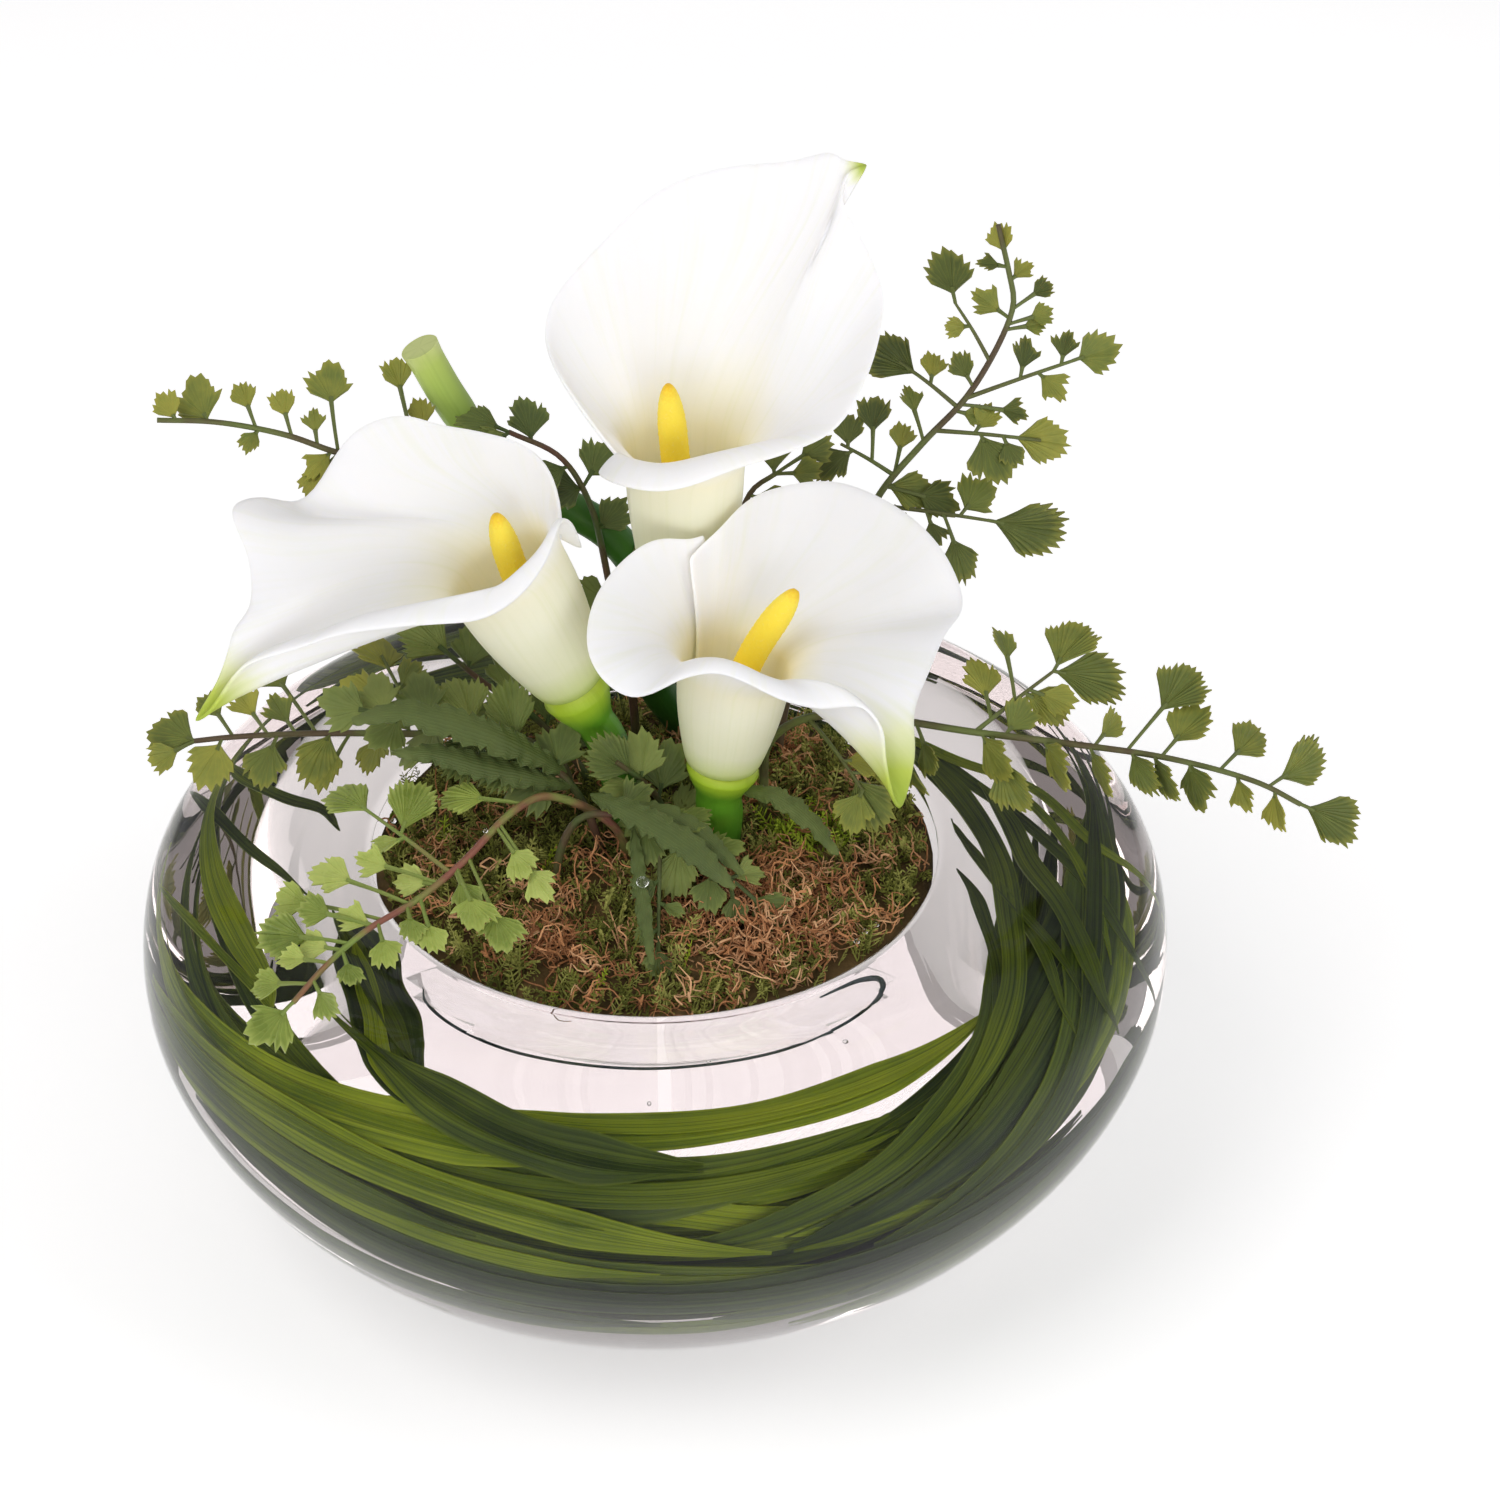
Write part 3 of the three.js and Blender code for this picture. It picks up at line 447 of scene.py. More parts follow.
def spathe_finish():
    """Waxy white, cream down in the tube, green at its foot and lime at the drawn-out tip."""
    made = Finish("spathe_white", IOR=1.4, Subsurface_Weight=0.3, Subsurface_Scale=0.006)
    made.shader.inputs["Subsurface Radius"].default_value = (1.0, 0.8, 0.6)
    _, along = made.across_along()
    veins = made.noise(made.grain((70.0, 1.6, 1.0)), 1.0, 3.0)
    fine = made.noise(made.where(), 900.0, 2.0)
    cloud = made.noise(made.where(), 28.0, 3.0)
    # The faint lavender of the last stops, toward the rim, is painted shade along the spathe's
    # edges.
    body = made.ramp(along + (cloud - 0.5) * 0.05, [
        (0.0, (0.44, 0.60, 0.08)), (0.03, (0.72, 0.80, 0.34)), (0.09, (0.90, 0.91, 0.60)),
        (0.22, (0.97, 0.95, 0.70)), (0.33, (0.99, 0.94, 0.69)), (0.44, (0.985, 0.95, 0.80)),
        (0.56, (0.98, 0.962, 0.945)), (1.0, (0.985, 0.965, 0.972)),
    ])
    shaded = made.blend(veins.between(0.35, 0.75) * 0.05, body, (0.80, 0.79, 0.80))
    warm = made.blend(cloud.between(0.5, 0.8) * 0.12, shaded, (0.98, 0.93, 0.90))
    lime = made.ramp(made.marked("lime") + (veins - 0.5) * 0.25, [
        (0.0, (1.0, 1.0, 1.0)), (0.3, (0.86, 0.90, 0.55)), (0.75, (0.50, 0.62, 0.10)),
        (1.0, (0.33, 0.45, 0.05)),
    ])
    made.colour(made.blend(1.0, warm, lime, "MULTIPLY"))
    made.rough(0.42 + fine * 0.16)
    made.bump(veins * 0.7 + fine * 0.3, 0.00025, 0.25)
    return made


def spadix_finish():
    """Grainy yellow, more orange at the foot."""
    made = Finish("spadix_yellow", IOR=1.45, Subsurface_Weight=0.1, Subsurface_Scale=0.002)
    _, along = made.across_along()
    speck = made.noise(made.where(), 1500.0, 3.0)
    body = made.ramp(along + (speck - 0.5) * 0.10, [
        (0.0, (0.62, 0.26, 0.01)), (0.3, (0.93, 0.50, 0.015)), (0.6, (0.99, 0.72, 0.035)),
        (0.93, (0.99, 0.78, 0.08)), (1.0, (0.92, 0.55, 0.02)),
    ])
    made.colour(made.blend(speck.between(0.55, 0.75) * 0.35, body, (0.99, 0.80, 0.25)))
    made.rough(0.5 + speck * 0.3)
    made.bump(speck, 0.0004, 0.6)
    return made


def stem_finish(name, stops):
    """Smooth streaked green, with its colours given from one end to the other."""
    made = Finish(name, IOR=1.42, Coat_Roughness=0.3)
    _, along = made.across_along()
    streaks = made.noise(made.grain((14.0, 1.0, 1.0)), 1.0, 4.0)
    patches = made.noise(made.where(), 90.0, 3.0)
    body = made.ramp(along + (patches - 0.5) * 0.06, stops)
    darker = made.blend(streaks.between(0.45, 0.8) * 0.16, body, (0.03, 0.12, 0.008))
    made.colour(made.blend(patches.between(0.55, 0.8) * 0.25, darker, (0.20, 0.36, 0.03)))
    made.rough(0.34 + streaks * 0.2)
    made.bump(streaks, 0.0005, 0.5)
    made.feed(made.shader.inputs["Coat Weight"], patches * 0.25)
    return made


def frond_finish(name, dark, middle, pale, dullness=0.34):
    """Fern leaflets: mottled, with veins fanning from the foot and yellower teeth."""
    made = Finish(name, IOR=1.42, Subsurface_Weight=0.05, Subsurface_Scale=0.001)
    across, along = made.across_along()
    tint = made.marked("tint")
    mottle = made.noise(made.where(), 220.0, 3.0)
    veins = ((across * 70.0) + (mottle * 5.0)).sine()
    body = made.ramp(tint * 0.65 + mottle * 0.35, [(0.15, dark), (0.55, middle), (0.95, pale)])
    edge = made.blend(along.between(0.80, 1.0) * 0.35, body, pale)
    made.colour(made.blend(veins.between(0.6, 1.0) * 0.14, edge, pale))
    made.rough(dullness + mottle * 0.25)
    made.bump(veins * 0.3 + mottle, 0.0003, 0.35)
    return made


def rib_finish(name, green, brown):
    """Fern midribs and stalks: green, and browner where the tint is high."""
    made = Finish(name, IOR=1.42)
    patches = made.noise(made.where(), 60.0, 3.0)
    streaks = made.noise(made.grain((8.0, 30.0, 1.0)), 1.0, 2.0)
    body = made.blend(patches.between(0.35, 0.62) * made.marked("tint"), green, brown)
    made.colour(made.blend(streaks.between(0.5, 0.8) * 0.4, body, (0.03, 0.02, 0.012)))
    made.rough(0.35 + streaks * 0.25)
    made.bump(streaks, 0.0002, 0.4)
    return made


def blade_finish(name, dark, middle, pale):
    """Long leaves: fine lengthwise veins and pleats, browner lengths, and a paler rim that is a
    painted highlight along both edges.
    """
    made = Finish(name, IOR=1.42)
    across, _ = made.across_along()
    tint = made.marked("tint")
    lines = made.noise(made.grain((17.0, 0.7, 1.0)), 1.0, 4.0, 0.7)
    pleats = made.noise(made.grain((5.0, 0.5, 1.0)), 1.0, 2.0)
    lengths = made.noise(made.where(), 22.0, 3.0)
    level = tint * 0.42 + lengths.between(0.3, 0.7) * 0.28 + pleats.between(0.35, 0.65) * 0.30
    body = made.ramp(level, [(0.10, dark), (0.45, middle), (0.85, pale)])
    veined = made.blend(lines.between(0.46, 0.60) * 0.70, body, dark)
    brown = made.blend(lines.between(0.60, 0.75) * lengths.between(0.5, 0.7) * 0.55, veined,
                       (0.20, 0.10, 0.02))
    # Painted highlight: both edges of each leaf are lightened toward the pale colour.
    rim = ((across - 0.5) * (across - 0.5)).between(0.19, 0.25) * 0.45
    made.colour(made.blend(rim, brown, pale))
    made.rough(0.34 + lines * 0.22)
    made.bump(lines + pleats, 0.0009, 0.6)
    return made


def moss_finish(name, dark, middle, pale):
    """Dull and speckled, darker in patches."""
    made = Finish(name, IOR=1.4)
    speck = made.noise(made.where(), 420.0, 4.0)
    patch = made.noise(made.where(), 45.0, 2.0)
    level = made.marked("tint") * 0.6 + speck * 0.4
    body = made.ramp(level, [(0.15, dark), (0.5, middle), (0.9, pale)])
    made.colour(made.blend(patch.between(0.4, 0.75) * 0.35, body, dark))
    made.rough(0.75 + speck * 0.2)
    made.bump(speck, 0.0008, 0.7)
    return made


def floor_finish():
    """A pale floor that gives off a little light near the middle of the picture."""
    made = Finish("studio_floor", IOR=1.4, Emission_Strength=0.45)
    drift = made.noise(made.where(), 1.3, 2.0)
    white = made.blend(drift, (0.93, 0.925, 0.925), (0.945, 0.94, 0.94))
    made.colour(white)
    gap = made.node("ShaderNodeVectorMath", {"operation": "DISTANCE"},
                    {"Vector": made.where(), 1: (0.0, 0.22, 0.0)})
    glow = 1.0 - Reading(made, gap.outputs["Value"]).between(0.42, 1.0)
    made.feed(made.shader.inputs["Emission Color"], made.blend(glow, (0.0, 0.0, 0.0), white))
    made.rough(0.7 + drift * 0.1)
    return made


# ---------- the bowl and its clear filling ----------
LIP_CENTRE = (BOWL["mouth_radius"] + BOWL["lip_radius"], BOWL["lip_height"] - BOWL["lip_radius"])
INNER_EQUATOR = BOWL["equator_radius"] - BOWL["wall"]


def outer_wall(share):
    """The outside of the glass: its foot at 0, its widest at 0.5, its lip at 1."""
    r, z = BOWL["equator_radius"], BOWL["equator_height"]
    if share <= 0.5:
        start = flat(BOWL["foot_radius"], 0)
        return bezier(start, flat(85, 0), flat(r, 36.5), flat(r, z), share * 2)
    top = flat(LIP_CENTRE[0], BOWL["lip_height"])
    return bezier(flat(r, z), flat(r, 101.5), flat(106, 102.5), top, share * 2 - 1)


def inner_wall(share):
    """The inside of the glass, in the same shares."""
    r, z = INNER_EQUATOR, BOWL["equator_height"]
    if share <= 0.5:
        floor = BOWL["floor"]
        start = flat(BOWL["floor_radius"], floor)
        return bezier(start, flat(83, floor), flat(r, 38.5), flat(r, z), share * 2)
    under = flat(LIP_CENTRE[0], LIP_CENTRE[1] - BOWL["lip_radius"])
    return bezier(flat(r, z), flat(r, 97.5), flat(104.5, 98.3), under, share * 2 - 1)


def inset_wall(share, inset):
    """A point set in from the inner wall, in the bowl's section."""
    a = inner_wall(max(share - 0.005, 0.0))
    b = inner_wall(min(share + 0.005, 1.0))
    run = (b - a).normalized()
    here = inner_wall(share)
    return here.x - inset * run.y, here.y + inset * run.x


def spun(name, profile, turns):
    """A profile of (radius, height) rows, in mm, extruded point by point and spun round."""
    deselect()
    bpy.ops.mesh.primitive_plane_add(size=0.01)
    piece = named(name)
    bpy.ops.object.mode_set(mode="EDIT")
    bpy.ops.mesh.select_all(action="SELECT")
    bpy.ops.mesh.merge(type="CENTER")
    here = Vector((profile[0][0], 0.0, profile[0][1])) * MM
    bpy.ops.transform.translate(value=here)
    for r, z in profile[1:]:
        there = Vector((r, 0.0, z)) * MM
        bpy.ops.mesh.extrude_region_move(TRANSFORM_OT_translate={"value": there - here})
        here = there
    bpy.ops.mesh.select_all(action="SELECT")
    bpy.ops.mesh.spin(steps=turns, angle=FULL_TURN, center=(0, 0, 0), axis=(0, 0, 1))
    weld(WELD_GAP)
    return piece


# The air pocket left over the filling under the front shoulder. It runs between two angles
# round the bowl, from the lip out to its reach, which draws in toward each side and closes
# quickly past the corner, given as a share of the half it spans. Above and drop are heights:
# where it may lie, and how far its floor is below the lip.
POCKET = {
    "from": -139.0, "to": -43.0, "lip": 70.5, "reach": 91.5, "side_reach": 80.0,
    "corner": 0.93, "corner_reach": 81.2, "above": 80, "drop": 4.6,
}


def pocket_edge(azimuth):
    """Outer radius of the air pocket at an angle, or none at all past its ends."""
    middle = (POCKET["from"] + POCKET["to"]) / 2
    half = (POCKET["to"] - POCKET["from"]) / 2
    off = abs(azimuth - middle) / half
    if off >= 1:
        return 0.0
    if off < POCKET["corner"]:
        return mix(POCKET["reach"], POCKET["side_reach"], off ** 2)
    closing = (off - POCKET["corner"]) / (1 - POCKET["corner"])
    return mix(POCKET["corner_reach"], POCKET["lip"], closing)


def azimuth_of(point):
    return math.degrees(math.atan2(point.y, point.x))


def in_pocket(point):
    r = math.hypot(point.x, point.y)
    inside = POCKET["lip"] < r < pocket_edge(azimuth_of(point))
    return inside and point.z > POCKET["above"]


def make_bowl():
    """The bowl. Where the filling wets its inside, the glass hardly bends the light."""
    steps = BOWL["steps"]
    outside = [outer_wall(k / steps) for k in range(steps + 1)]
    inside = [inner_wall(k / steps) for k in range(steps, -1, -1)]
    profile = [(0.0, 0.0)]
    profile += [(p.x, p.y) for p in outside]
    for turn in range(75, -76, -25):
        angle = math.radians(turn)
        profile.append((LIP_CENTRE[0] - BOWL["lip_radius"] * math.cos(angle),
                        LIP_CENTRE[1] + BOWL["lip_radius"] * math.sin(angle)))
    profile += [(p.x, p.y) for p in inside]
    profile.append((0.0, BOWL["floor"]))
    piece = spun("bowl_glass", profile, BOWL["turns"])
    outer = clear_finish("bowl_glass_polished", 1.5, (0.985, 0.98, 0.98), 0.004, 0.25)
    wetted = clear_finish("bowl_glass_against_resin", 1.004, (0.996, 0.99, 0.988))
    # The foot's grey tint is painted shade: it darkens the underside into the grey crescent seen
    # through the thick base.
    foot = clear_finish("bowl_glass_foot_painted_shade", 1.5, (0.67, 0.63, 0.64), 0.004)
    wear(piece, outer, wetted, foot)
    for face in piece.data.polygons:
        centre = face.center / MM
        underside = centre.z < 0.5 and face.normal.z < -0.9
        if underside:
            face.material_index = 2
        r = math.hypot(centre.x, centre.y)
        faces_in = face.normal.dot(Vector((centre.x, centre.y, (centre.z - 50) * 1.3))) < 0
        on_wall = faces_in and r > BOWL["mouth_radius"] + 1.5
        on_floor = centre.z > BOWL["floor"] / 2 and r < BOWL["floor_radius"] + 0.5
        if (on_wall or on_floor) and not in_pocket(centre):
            face.material_index = 1
    smooth(piece, 60)
    settle(piece, "clear_glass", "glass_bowl")


def make_filling():
    """The clear body, a hair inside the glass, with the pocket pressed into its top."""
    steps = BOWL["steps"]
    hair = 0.12
    pocket_floor = BOWL["lip_height"] - POCKET["drop"]
    profile = [(0.0, BOWL["floor"] + hair), (40.0, BOWL["floor"] + hair)]
    profile += [inset_wall(k / steps, hair) for k in range(steps + 1)]
    profile += [(MOSS["radius"] + 0.5, 91.0), (MOSS["radius"] + 0.1, MOSS["underside"] + 4),
                (60.0, 82.0), (45.0, 76.5), (25.0, 73.0), (0.0, MOSS["bottom"] - 0.3)]
    piece = spun("clear_filling", profile, BOWL["turns"])
    for vertex in piece.data.vertices:
        point = vertex.co / MM
        if in_pocket(point):
            r = math.hypot(point.x, point.y)
            edge = pocket_edge(azimuth_of(point))
            room = smooth_step(0.0, 3.0, edge - r)
            vertex.co.z = mix(point.z, min(point.z - 0.4, pocket_floor), room) * MM
    surface = clear_finish("resin_free_surface", 1.49, (0.95, 0.91, 0.90), 0.006)
    bound = clear_finish("resin_against_glass", 1.004, (0.87, 0.83, 0.825))
    wear(piece, surface, bound)
    for face in piece.data.polygons:
        if not in_pocket(face.center / MM):
            face.material_index = 1
    smooth(piece, 60)
    settle(piece, "clear_resin", "clear_fill")


# The dark line that the filling's edge draws under the shoulder: angle, radius.
WATER_LINE = [
    (-134, 80), (-130, 84.5), (-122, 88.5), (-110, 91), (-92, 91.6), (-74, 90.5), (-62, 88),
    (-53, 84.5), (-48, 80.5), (-46.5, 76.8), (-48.5, 74.2), (-53, 73.2), (-58, 73.4),
]


def wall_height(r):
    """Height of the inner wall's shoulder over a radius."""
    low, high = 0.62, 1.0
    for _ in range(30):
        middle = (low + high) / 2
        if inner_wall(middle).x > r:
            low = middle
        else:
            high = middle
    return inner_wall(low).y


def make_water_line():
    """A thin dark thread under the shoulder, thicker toward its right end."""
    points = [round_at(r, math.radians(azimuth), wall_height(r) - 0.75)
              for azimuth, r in WATER_LINE]

    def radius_at(share, turn):
        taper = min(1.0, 0.25 + share * 14, 0.25 + (1 - share) * 6)
        return 0.5 * taper * (1 + 0.8 * smooth_step(0.80, 0.92, share))

    piece = rod("water_line", points, radius_at, 8, 120)
    dark = Finish("water_line_shade", IOR=1.33)
    shade = dark.noise(dark.where(), 60.0, 2.0)
    dark.colour(dark.blend(shade, (0.03, 0.055, 0.06), (0.07, 0.10, 0.10)))
    dark.rough(0.3 + shade * 0.2)
    dress(piece, dark, 60, "clear_resin")


# ---------- calla lilies ----------
# The tube of the spathe runs from its foot to its mouth, and the sheet goes on by the lead
# before it flares. Each rim row: angle round the tube, reach from its axis, height over its
# foot, and where the sheet comes from just before the rim: how far inward, and how far up
# (rolled edge) or down. Tip is the row of the drawn-out tip, counted as written, and tip_fade
# how far from it the lime colour reaches.
CALLAS = [
    {
        "name": "top", "foot": (8, 29, 147.5), "mouth": (8, 28, 187), "foot_radius": 7.6,
        "mouth_radius": 12.8, "stem_radius": 5.0, "lead": 11,
        "stem": [(16, 30, 76), (14.5, 30, 104), (10.5, 29.5, 130)],
        "spadix": [(7.5, 28, 172), (6, 26, 192), (4.6, 24.5, 211)],
        "tip": 12, "tip_fade": 6.5,
        "rim": [(226, 17, 46, 3, -4), (207, 19.5, 51, 5, -8), (190, 26, 62, 6, -12),
            (172, 32, 70, 8, -15), (159, 33.5, 76, 8, -18), (143, 31.5, 82, 6, -21),
            (124, 29, 89.5, 4, -24), (98, 31.5, 97, 3, -26), (75, 37, 100, 3, -26),
            (54, 43.5, 102, 4, -26), (43, 48, 106, 6, -22), (38.3, 50.2, 104.6, 5, -14),
            (34.4, 54.3, 103.6, 5, -3), (36.4, 49.1, 102.6, 4, -10), (32.6, 45.4, 97.4, 4, -18),
            (26, 47, 90.8, 6, -19), (18.5, 49.1, 82.8, 9, -17), (12, 49, 77, 10, -15),
            (-2, 44.5, 67, 11, -9), (-19, 39, 58, 9, 0), (-40, 32.5, 56, 8, 5),
            (-66, 29, 55, 7, 6), (-98, 29, 50.5, 7, 7), (-124, 27.5, 48.5, 6, 7),
            (-150, 24, 45, 5, 6)],
    },
    {
        "name": "left", "foot": (-19.8, 0, 143), "mouth": (-34, -2, 174), "foot_radius": 6.6,
        "mouth_radius": 12.6, "stem_radius": 5.0, "lead": 9,
        "stem": [(-4, 2, 76), (-5, 1.5, 100), (-11.5, 0.5, 126)],
        "spadix": [(-28, -1, 162), (-33, 0, 177), (-36.5, 1.5, 190)],
        "tip": 15, "tip_fade": 24.0,
        "rim": [(8, 15.5, 38, 2, -3), (35, 22, 48, 4, -8), (57, 25, 54, 4, -12),
            (79, 26, 58.6, 4, -15), (98, 30, 62, 4, -18), (112, 34, 68, 4, -22),
            (130, 40, 68.5, 6, -20), (150, 47, 61, 10, -12), (161, 51, 71, 11, -14),
            (171, 53.5, 75, 12, -12), (181, 52, 67, 12, -8), (191, 55, 61, 14, -4),
            (195.3, 61.2, 59.3, 14, -2), (198.1, 66, 55.6, 12, 1), (199.8, 71.8, 51.7, 8, 3),
            (201, 80.3, 47.6, 5, 2), (201.8, 75.5, 48.9, 7, 3), (203.5, 66.3, 54.6, 12, 3),
            (206.1, 60.7, 56, 13, 2), (211.7, 51.4, 55.1, 12, 3), (220.3, 42.8, 54.9, 10, 4),
            (235.4, 34.7, 51.7, 9, 5), (249.6, 29.9, 47.9, 8, 6), (268, 25.5, 43, 7, 7),
            (295, 21, 42, 6, 7), (324, 19.6, 44, 4, 4), (349, 20.4, 46.5, 2, 2),
            (366, 20.6, 41, 3, 3), (379, 19.1, 31, 2, 1)],
    },
    {
        "name": "front", "foot": (17, -7, 124), "mouth": (20, -7, 150), "foot_radius": 7.0,
        "mouth_radius": 11.6, "stem_radius": 5.6, "lead": 9,
        "stem": [(15, -6, 76), (15.3, -6, 98), (16, -6.6, 110)],
        "spadix": [(19, -7, 140), (24, -5.5, 154), (34.5, 0, 168.5)],
        "tip": 14, "tip_fade": 30.0,
        "rim": [(141, 17, 50, 2, -8), (123, 18, 52.5, 3, -12), (106, 19, 56.5, 3, -16),
            (89, 25.5, 59, 4, -18), (76, 36, 57.5, 5, -18), (63, 45, 57, 6, -18),
            (52, 50, 55, 7, -17), (40, 54, 51.5, 8, -15), (27, 55.5, 47.5, 10, -11),
            (16, 56, 41, 11, -4), (5, 49, 39, 12, -1), (-11, 45, 33, 12, 4),
            (-20.2, 44.9, 28.1, 9, 7), (-27.6, 48.5, 21, 6, 8), (-35.6, 49.9, 9.6, 2, 8),
            (-39.3, 46.1, 23.2, 5, 9), (-40.8, 44.1, 33.3, 8, 6), (-45.5, 39, 38, 9, 7),
            (-56, 33, 36, 8, 7), (-72, 28.5, 37.5, 7, 7), (-89, 25, 40, 7, 6),
            (-107, 24.5, 41, 6, 6), (-122, 29.5, 39.5, 9, 6), (-133, 36.5, 34.5, 12, 7),
            (-142, 41, 37, 13, 5), (-152, 42, 42, 13, 1), (-165, 38, 48, 12, -3),
            (-180, 32, 52, 10, -7), (-203, 25, 55, 6, -11), (-225, 20.5, 53, 3, -14),
            (-240, 19.8, 53, 2, -14)],
    },
]
SHEET = 1.0                  # thickness of a spathe
WRAP_PITCH = 1.6             # how much wider a spathe gets in one turn round its tube
TUBE_SHARE = 0.28            # how much of a spathe's height on its map is tube
SPADIX_RADIUS = 3.45
CUT_STEM_RADIUS = 4.45
STEPS_PER_ROW = 3            # grid steps between two rim rows
STEPS_UP = 20                # grid steps from the foot to the rim


def tube_frame(calla):
    """Foot, axis and length of a spathe's tube, and two directions across it."""
    foot = Vector(calla["foot"])
    axis = Vector(calla["mouth"]) - foot
    length = axis.length
    axis.normalize()
    side = (Vector((1, 0, 0)) - axis * axis.x).normalized()
    return foot, axis, length, side, axis.cross(side)


def make_spathe(calla, finish):
    """A sheet wrapped a little over once round its tube and flared out to its rim rows."""
    foot, axis, length, side, depth = tube_frame(calla)
    rows = list(calla["rim"])
    start = rows[0][0]
    widen = calla["mouth_radius"] - calla["foot_radius"]
    backwards = rows[1][0] < rows[0][0]
    if backwards:
        rows.reverse()
    tip_row = len(rows) - 1 - calla["tip"] if backwards else calla["tip"]
    first, last = rows[0][0], rows[-1][0]

    def place(u, v):
        rim_angle, reach, height, inward, rise = through(rows, u * (len(rows) - 1))
        spread = smooth_step(0.0, 0.85, (v - TUBE_SHARE) / (1 - TUBE_SHARE))
        angle = mix(mix(first, last, u), rim_angle, spread)
        out = side * math.cos(math.radians(angle)) + depth * math.sin(math.radians(angle))
        wrap = WRAP_PITCH * abs(angle - start) / 360
        if v < TUBE_SHARE:
            share = v / TUBE_SHARE
            radius = calla["foot_radius"] + wrap + widen * math.sin(share * math.pi / 2)
            return foot + out * radius + axis * (length * share)
        mouth_radius = calla["mouth_radius"] + wrap
        leave = mouth_radius + widen / length * calla["lead"] * 0.4
        t = (v - TUBE_SHARE) / (1 - TUBE_SHARE)
        point = bezier(flat(mouth_radius, length), flat(leave, length + calla["lead"]),
                       flat(reach - inward, height + rise), flat(reach, height), t)
        return foot + out * point.x + axis * point.y

    name = f"{calla['name']}_spathe"
    piece = laid_grid(name, (len(rows) - 1) * STEPS_PER_ROW, STEPS_UP, place)
    tip = place(tip_row / (len(rows) - 1), 1.0)
    fade = calla["tip_fade"]
    mark(piece, "lime", lambda point: 1 - smooth_step(0.0, fade, (point - tip).length))
    thickened(piece, SHEET * MM, 1.0)
    finish_with(piece, "SUBSURF", levels=1, render_levels=1)
    dress(piece, finish, 70, "white_spathe", f"calla_{name}")


def make_spadix(calla, finish):
    """A nubbly rod with a domed end, standing in the tube."""
    foot, axis, *_ = tube_frame(calla)
    points = [foot + axis * 0.3, foot + axis * 8, *calla["spadix"]]

    def radius_at(share, turn):
        past = max(share - 0.78, 0) / 0.225
        body = SPADIX_RADIUS * math.sqrt(max(1 - past ** 2, 0.0)) + 0.02
        nubs = math.sin(share * 210 + turn * 3) * math.sin(turn * 7 - share * 60)
        return body + 0.14 * nubs * min(1.0, (1.02 - share) * 6)

    name = f"{calla['name']}_spadix"
    dress(rod(name, points, radius_at, 40, 96), finish, 80, "yellow_spadix", f"calla_{name}")


def make_stem(calla, finish):
    """A stem that swells to a ringed collar under the spathe."""
    foot, axis, *_ = tube_frame(calla)
    points = [*calla["stem"], foot - axis * 12, foot - axis * 0.3]
    collar = calla["foot_radius"] + SHEET + WRAP_PITCH / 2

    def radius_at(share, turn):
        swell = smooth_step(0.80, 0.95, share)
        ring = 0.45 * math.exp(-((share - 0.955) / 0.012) ** 2)
        lip = -0.5 * smooth_step(0.985, 1.0, share)
        flutes = 0.04 * math.cos(turn * 7) * (1 - swell)
        return mix(calla["stem_radius"], collar - 0.35, swell) + ring + lip + flutes

    name = f"{calla['name']}_stem"
    dress(rod(name, points, radius_at, 36, 70), finish, 60, "green_stem", f"calla_{name}")


# From the cut end down into the moss.
CUT_STEM = [
    (-55, 46, 209.5), (-48, 46, 194.5), (-39, 46, 180), (-22, 46, 165), (-9.5, 46, 155),
    (-2, 45, 142), (-3, 43, 127), (1, 42.5, 112), (9, 43, 98), (13, 44, 76),
]


def make_cut_stem(finish):
    def radius_at(share, turn):
        flutes = 0.04 * math.cos(turn * 5 + share * 3)
        pinch = -0.5 * math.exp(-((share - 0.16) / 0.02) ** 2)
        flare = 0.35 * math.exp(-(share / 0.012) ** 2)
        return CUT_STEM_RADIUS + flutes + pinch + flare

    piece = rod("cut_stem_round", CUT_STEM, radius_at, 32, 110)
    dress(piece, finish, 50, "green_stem", "cut_stem")


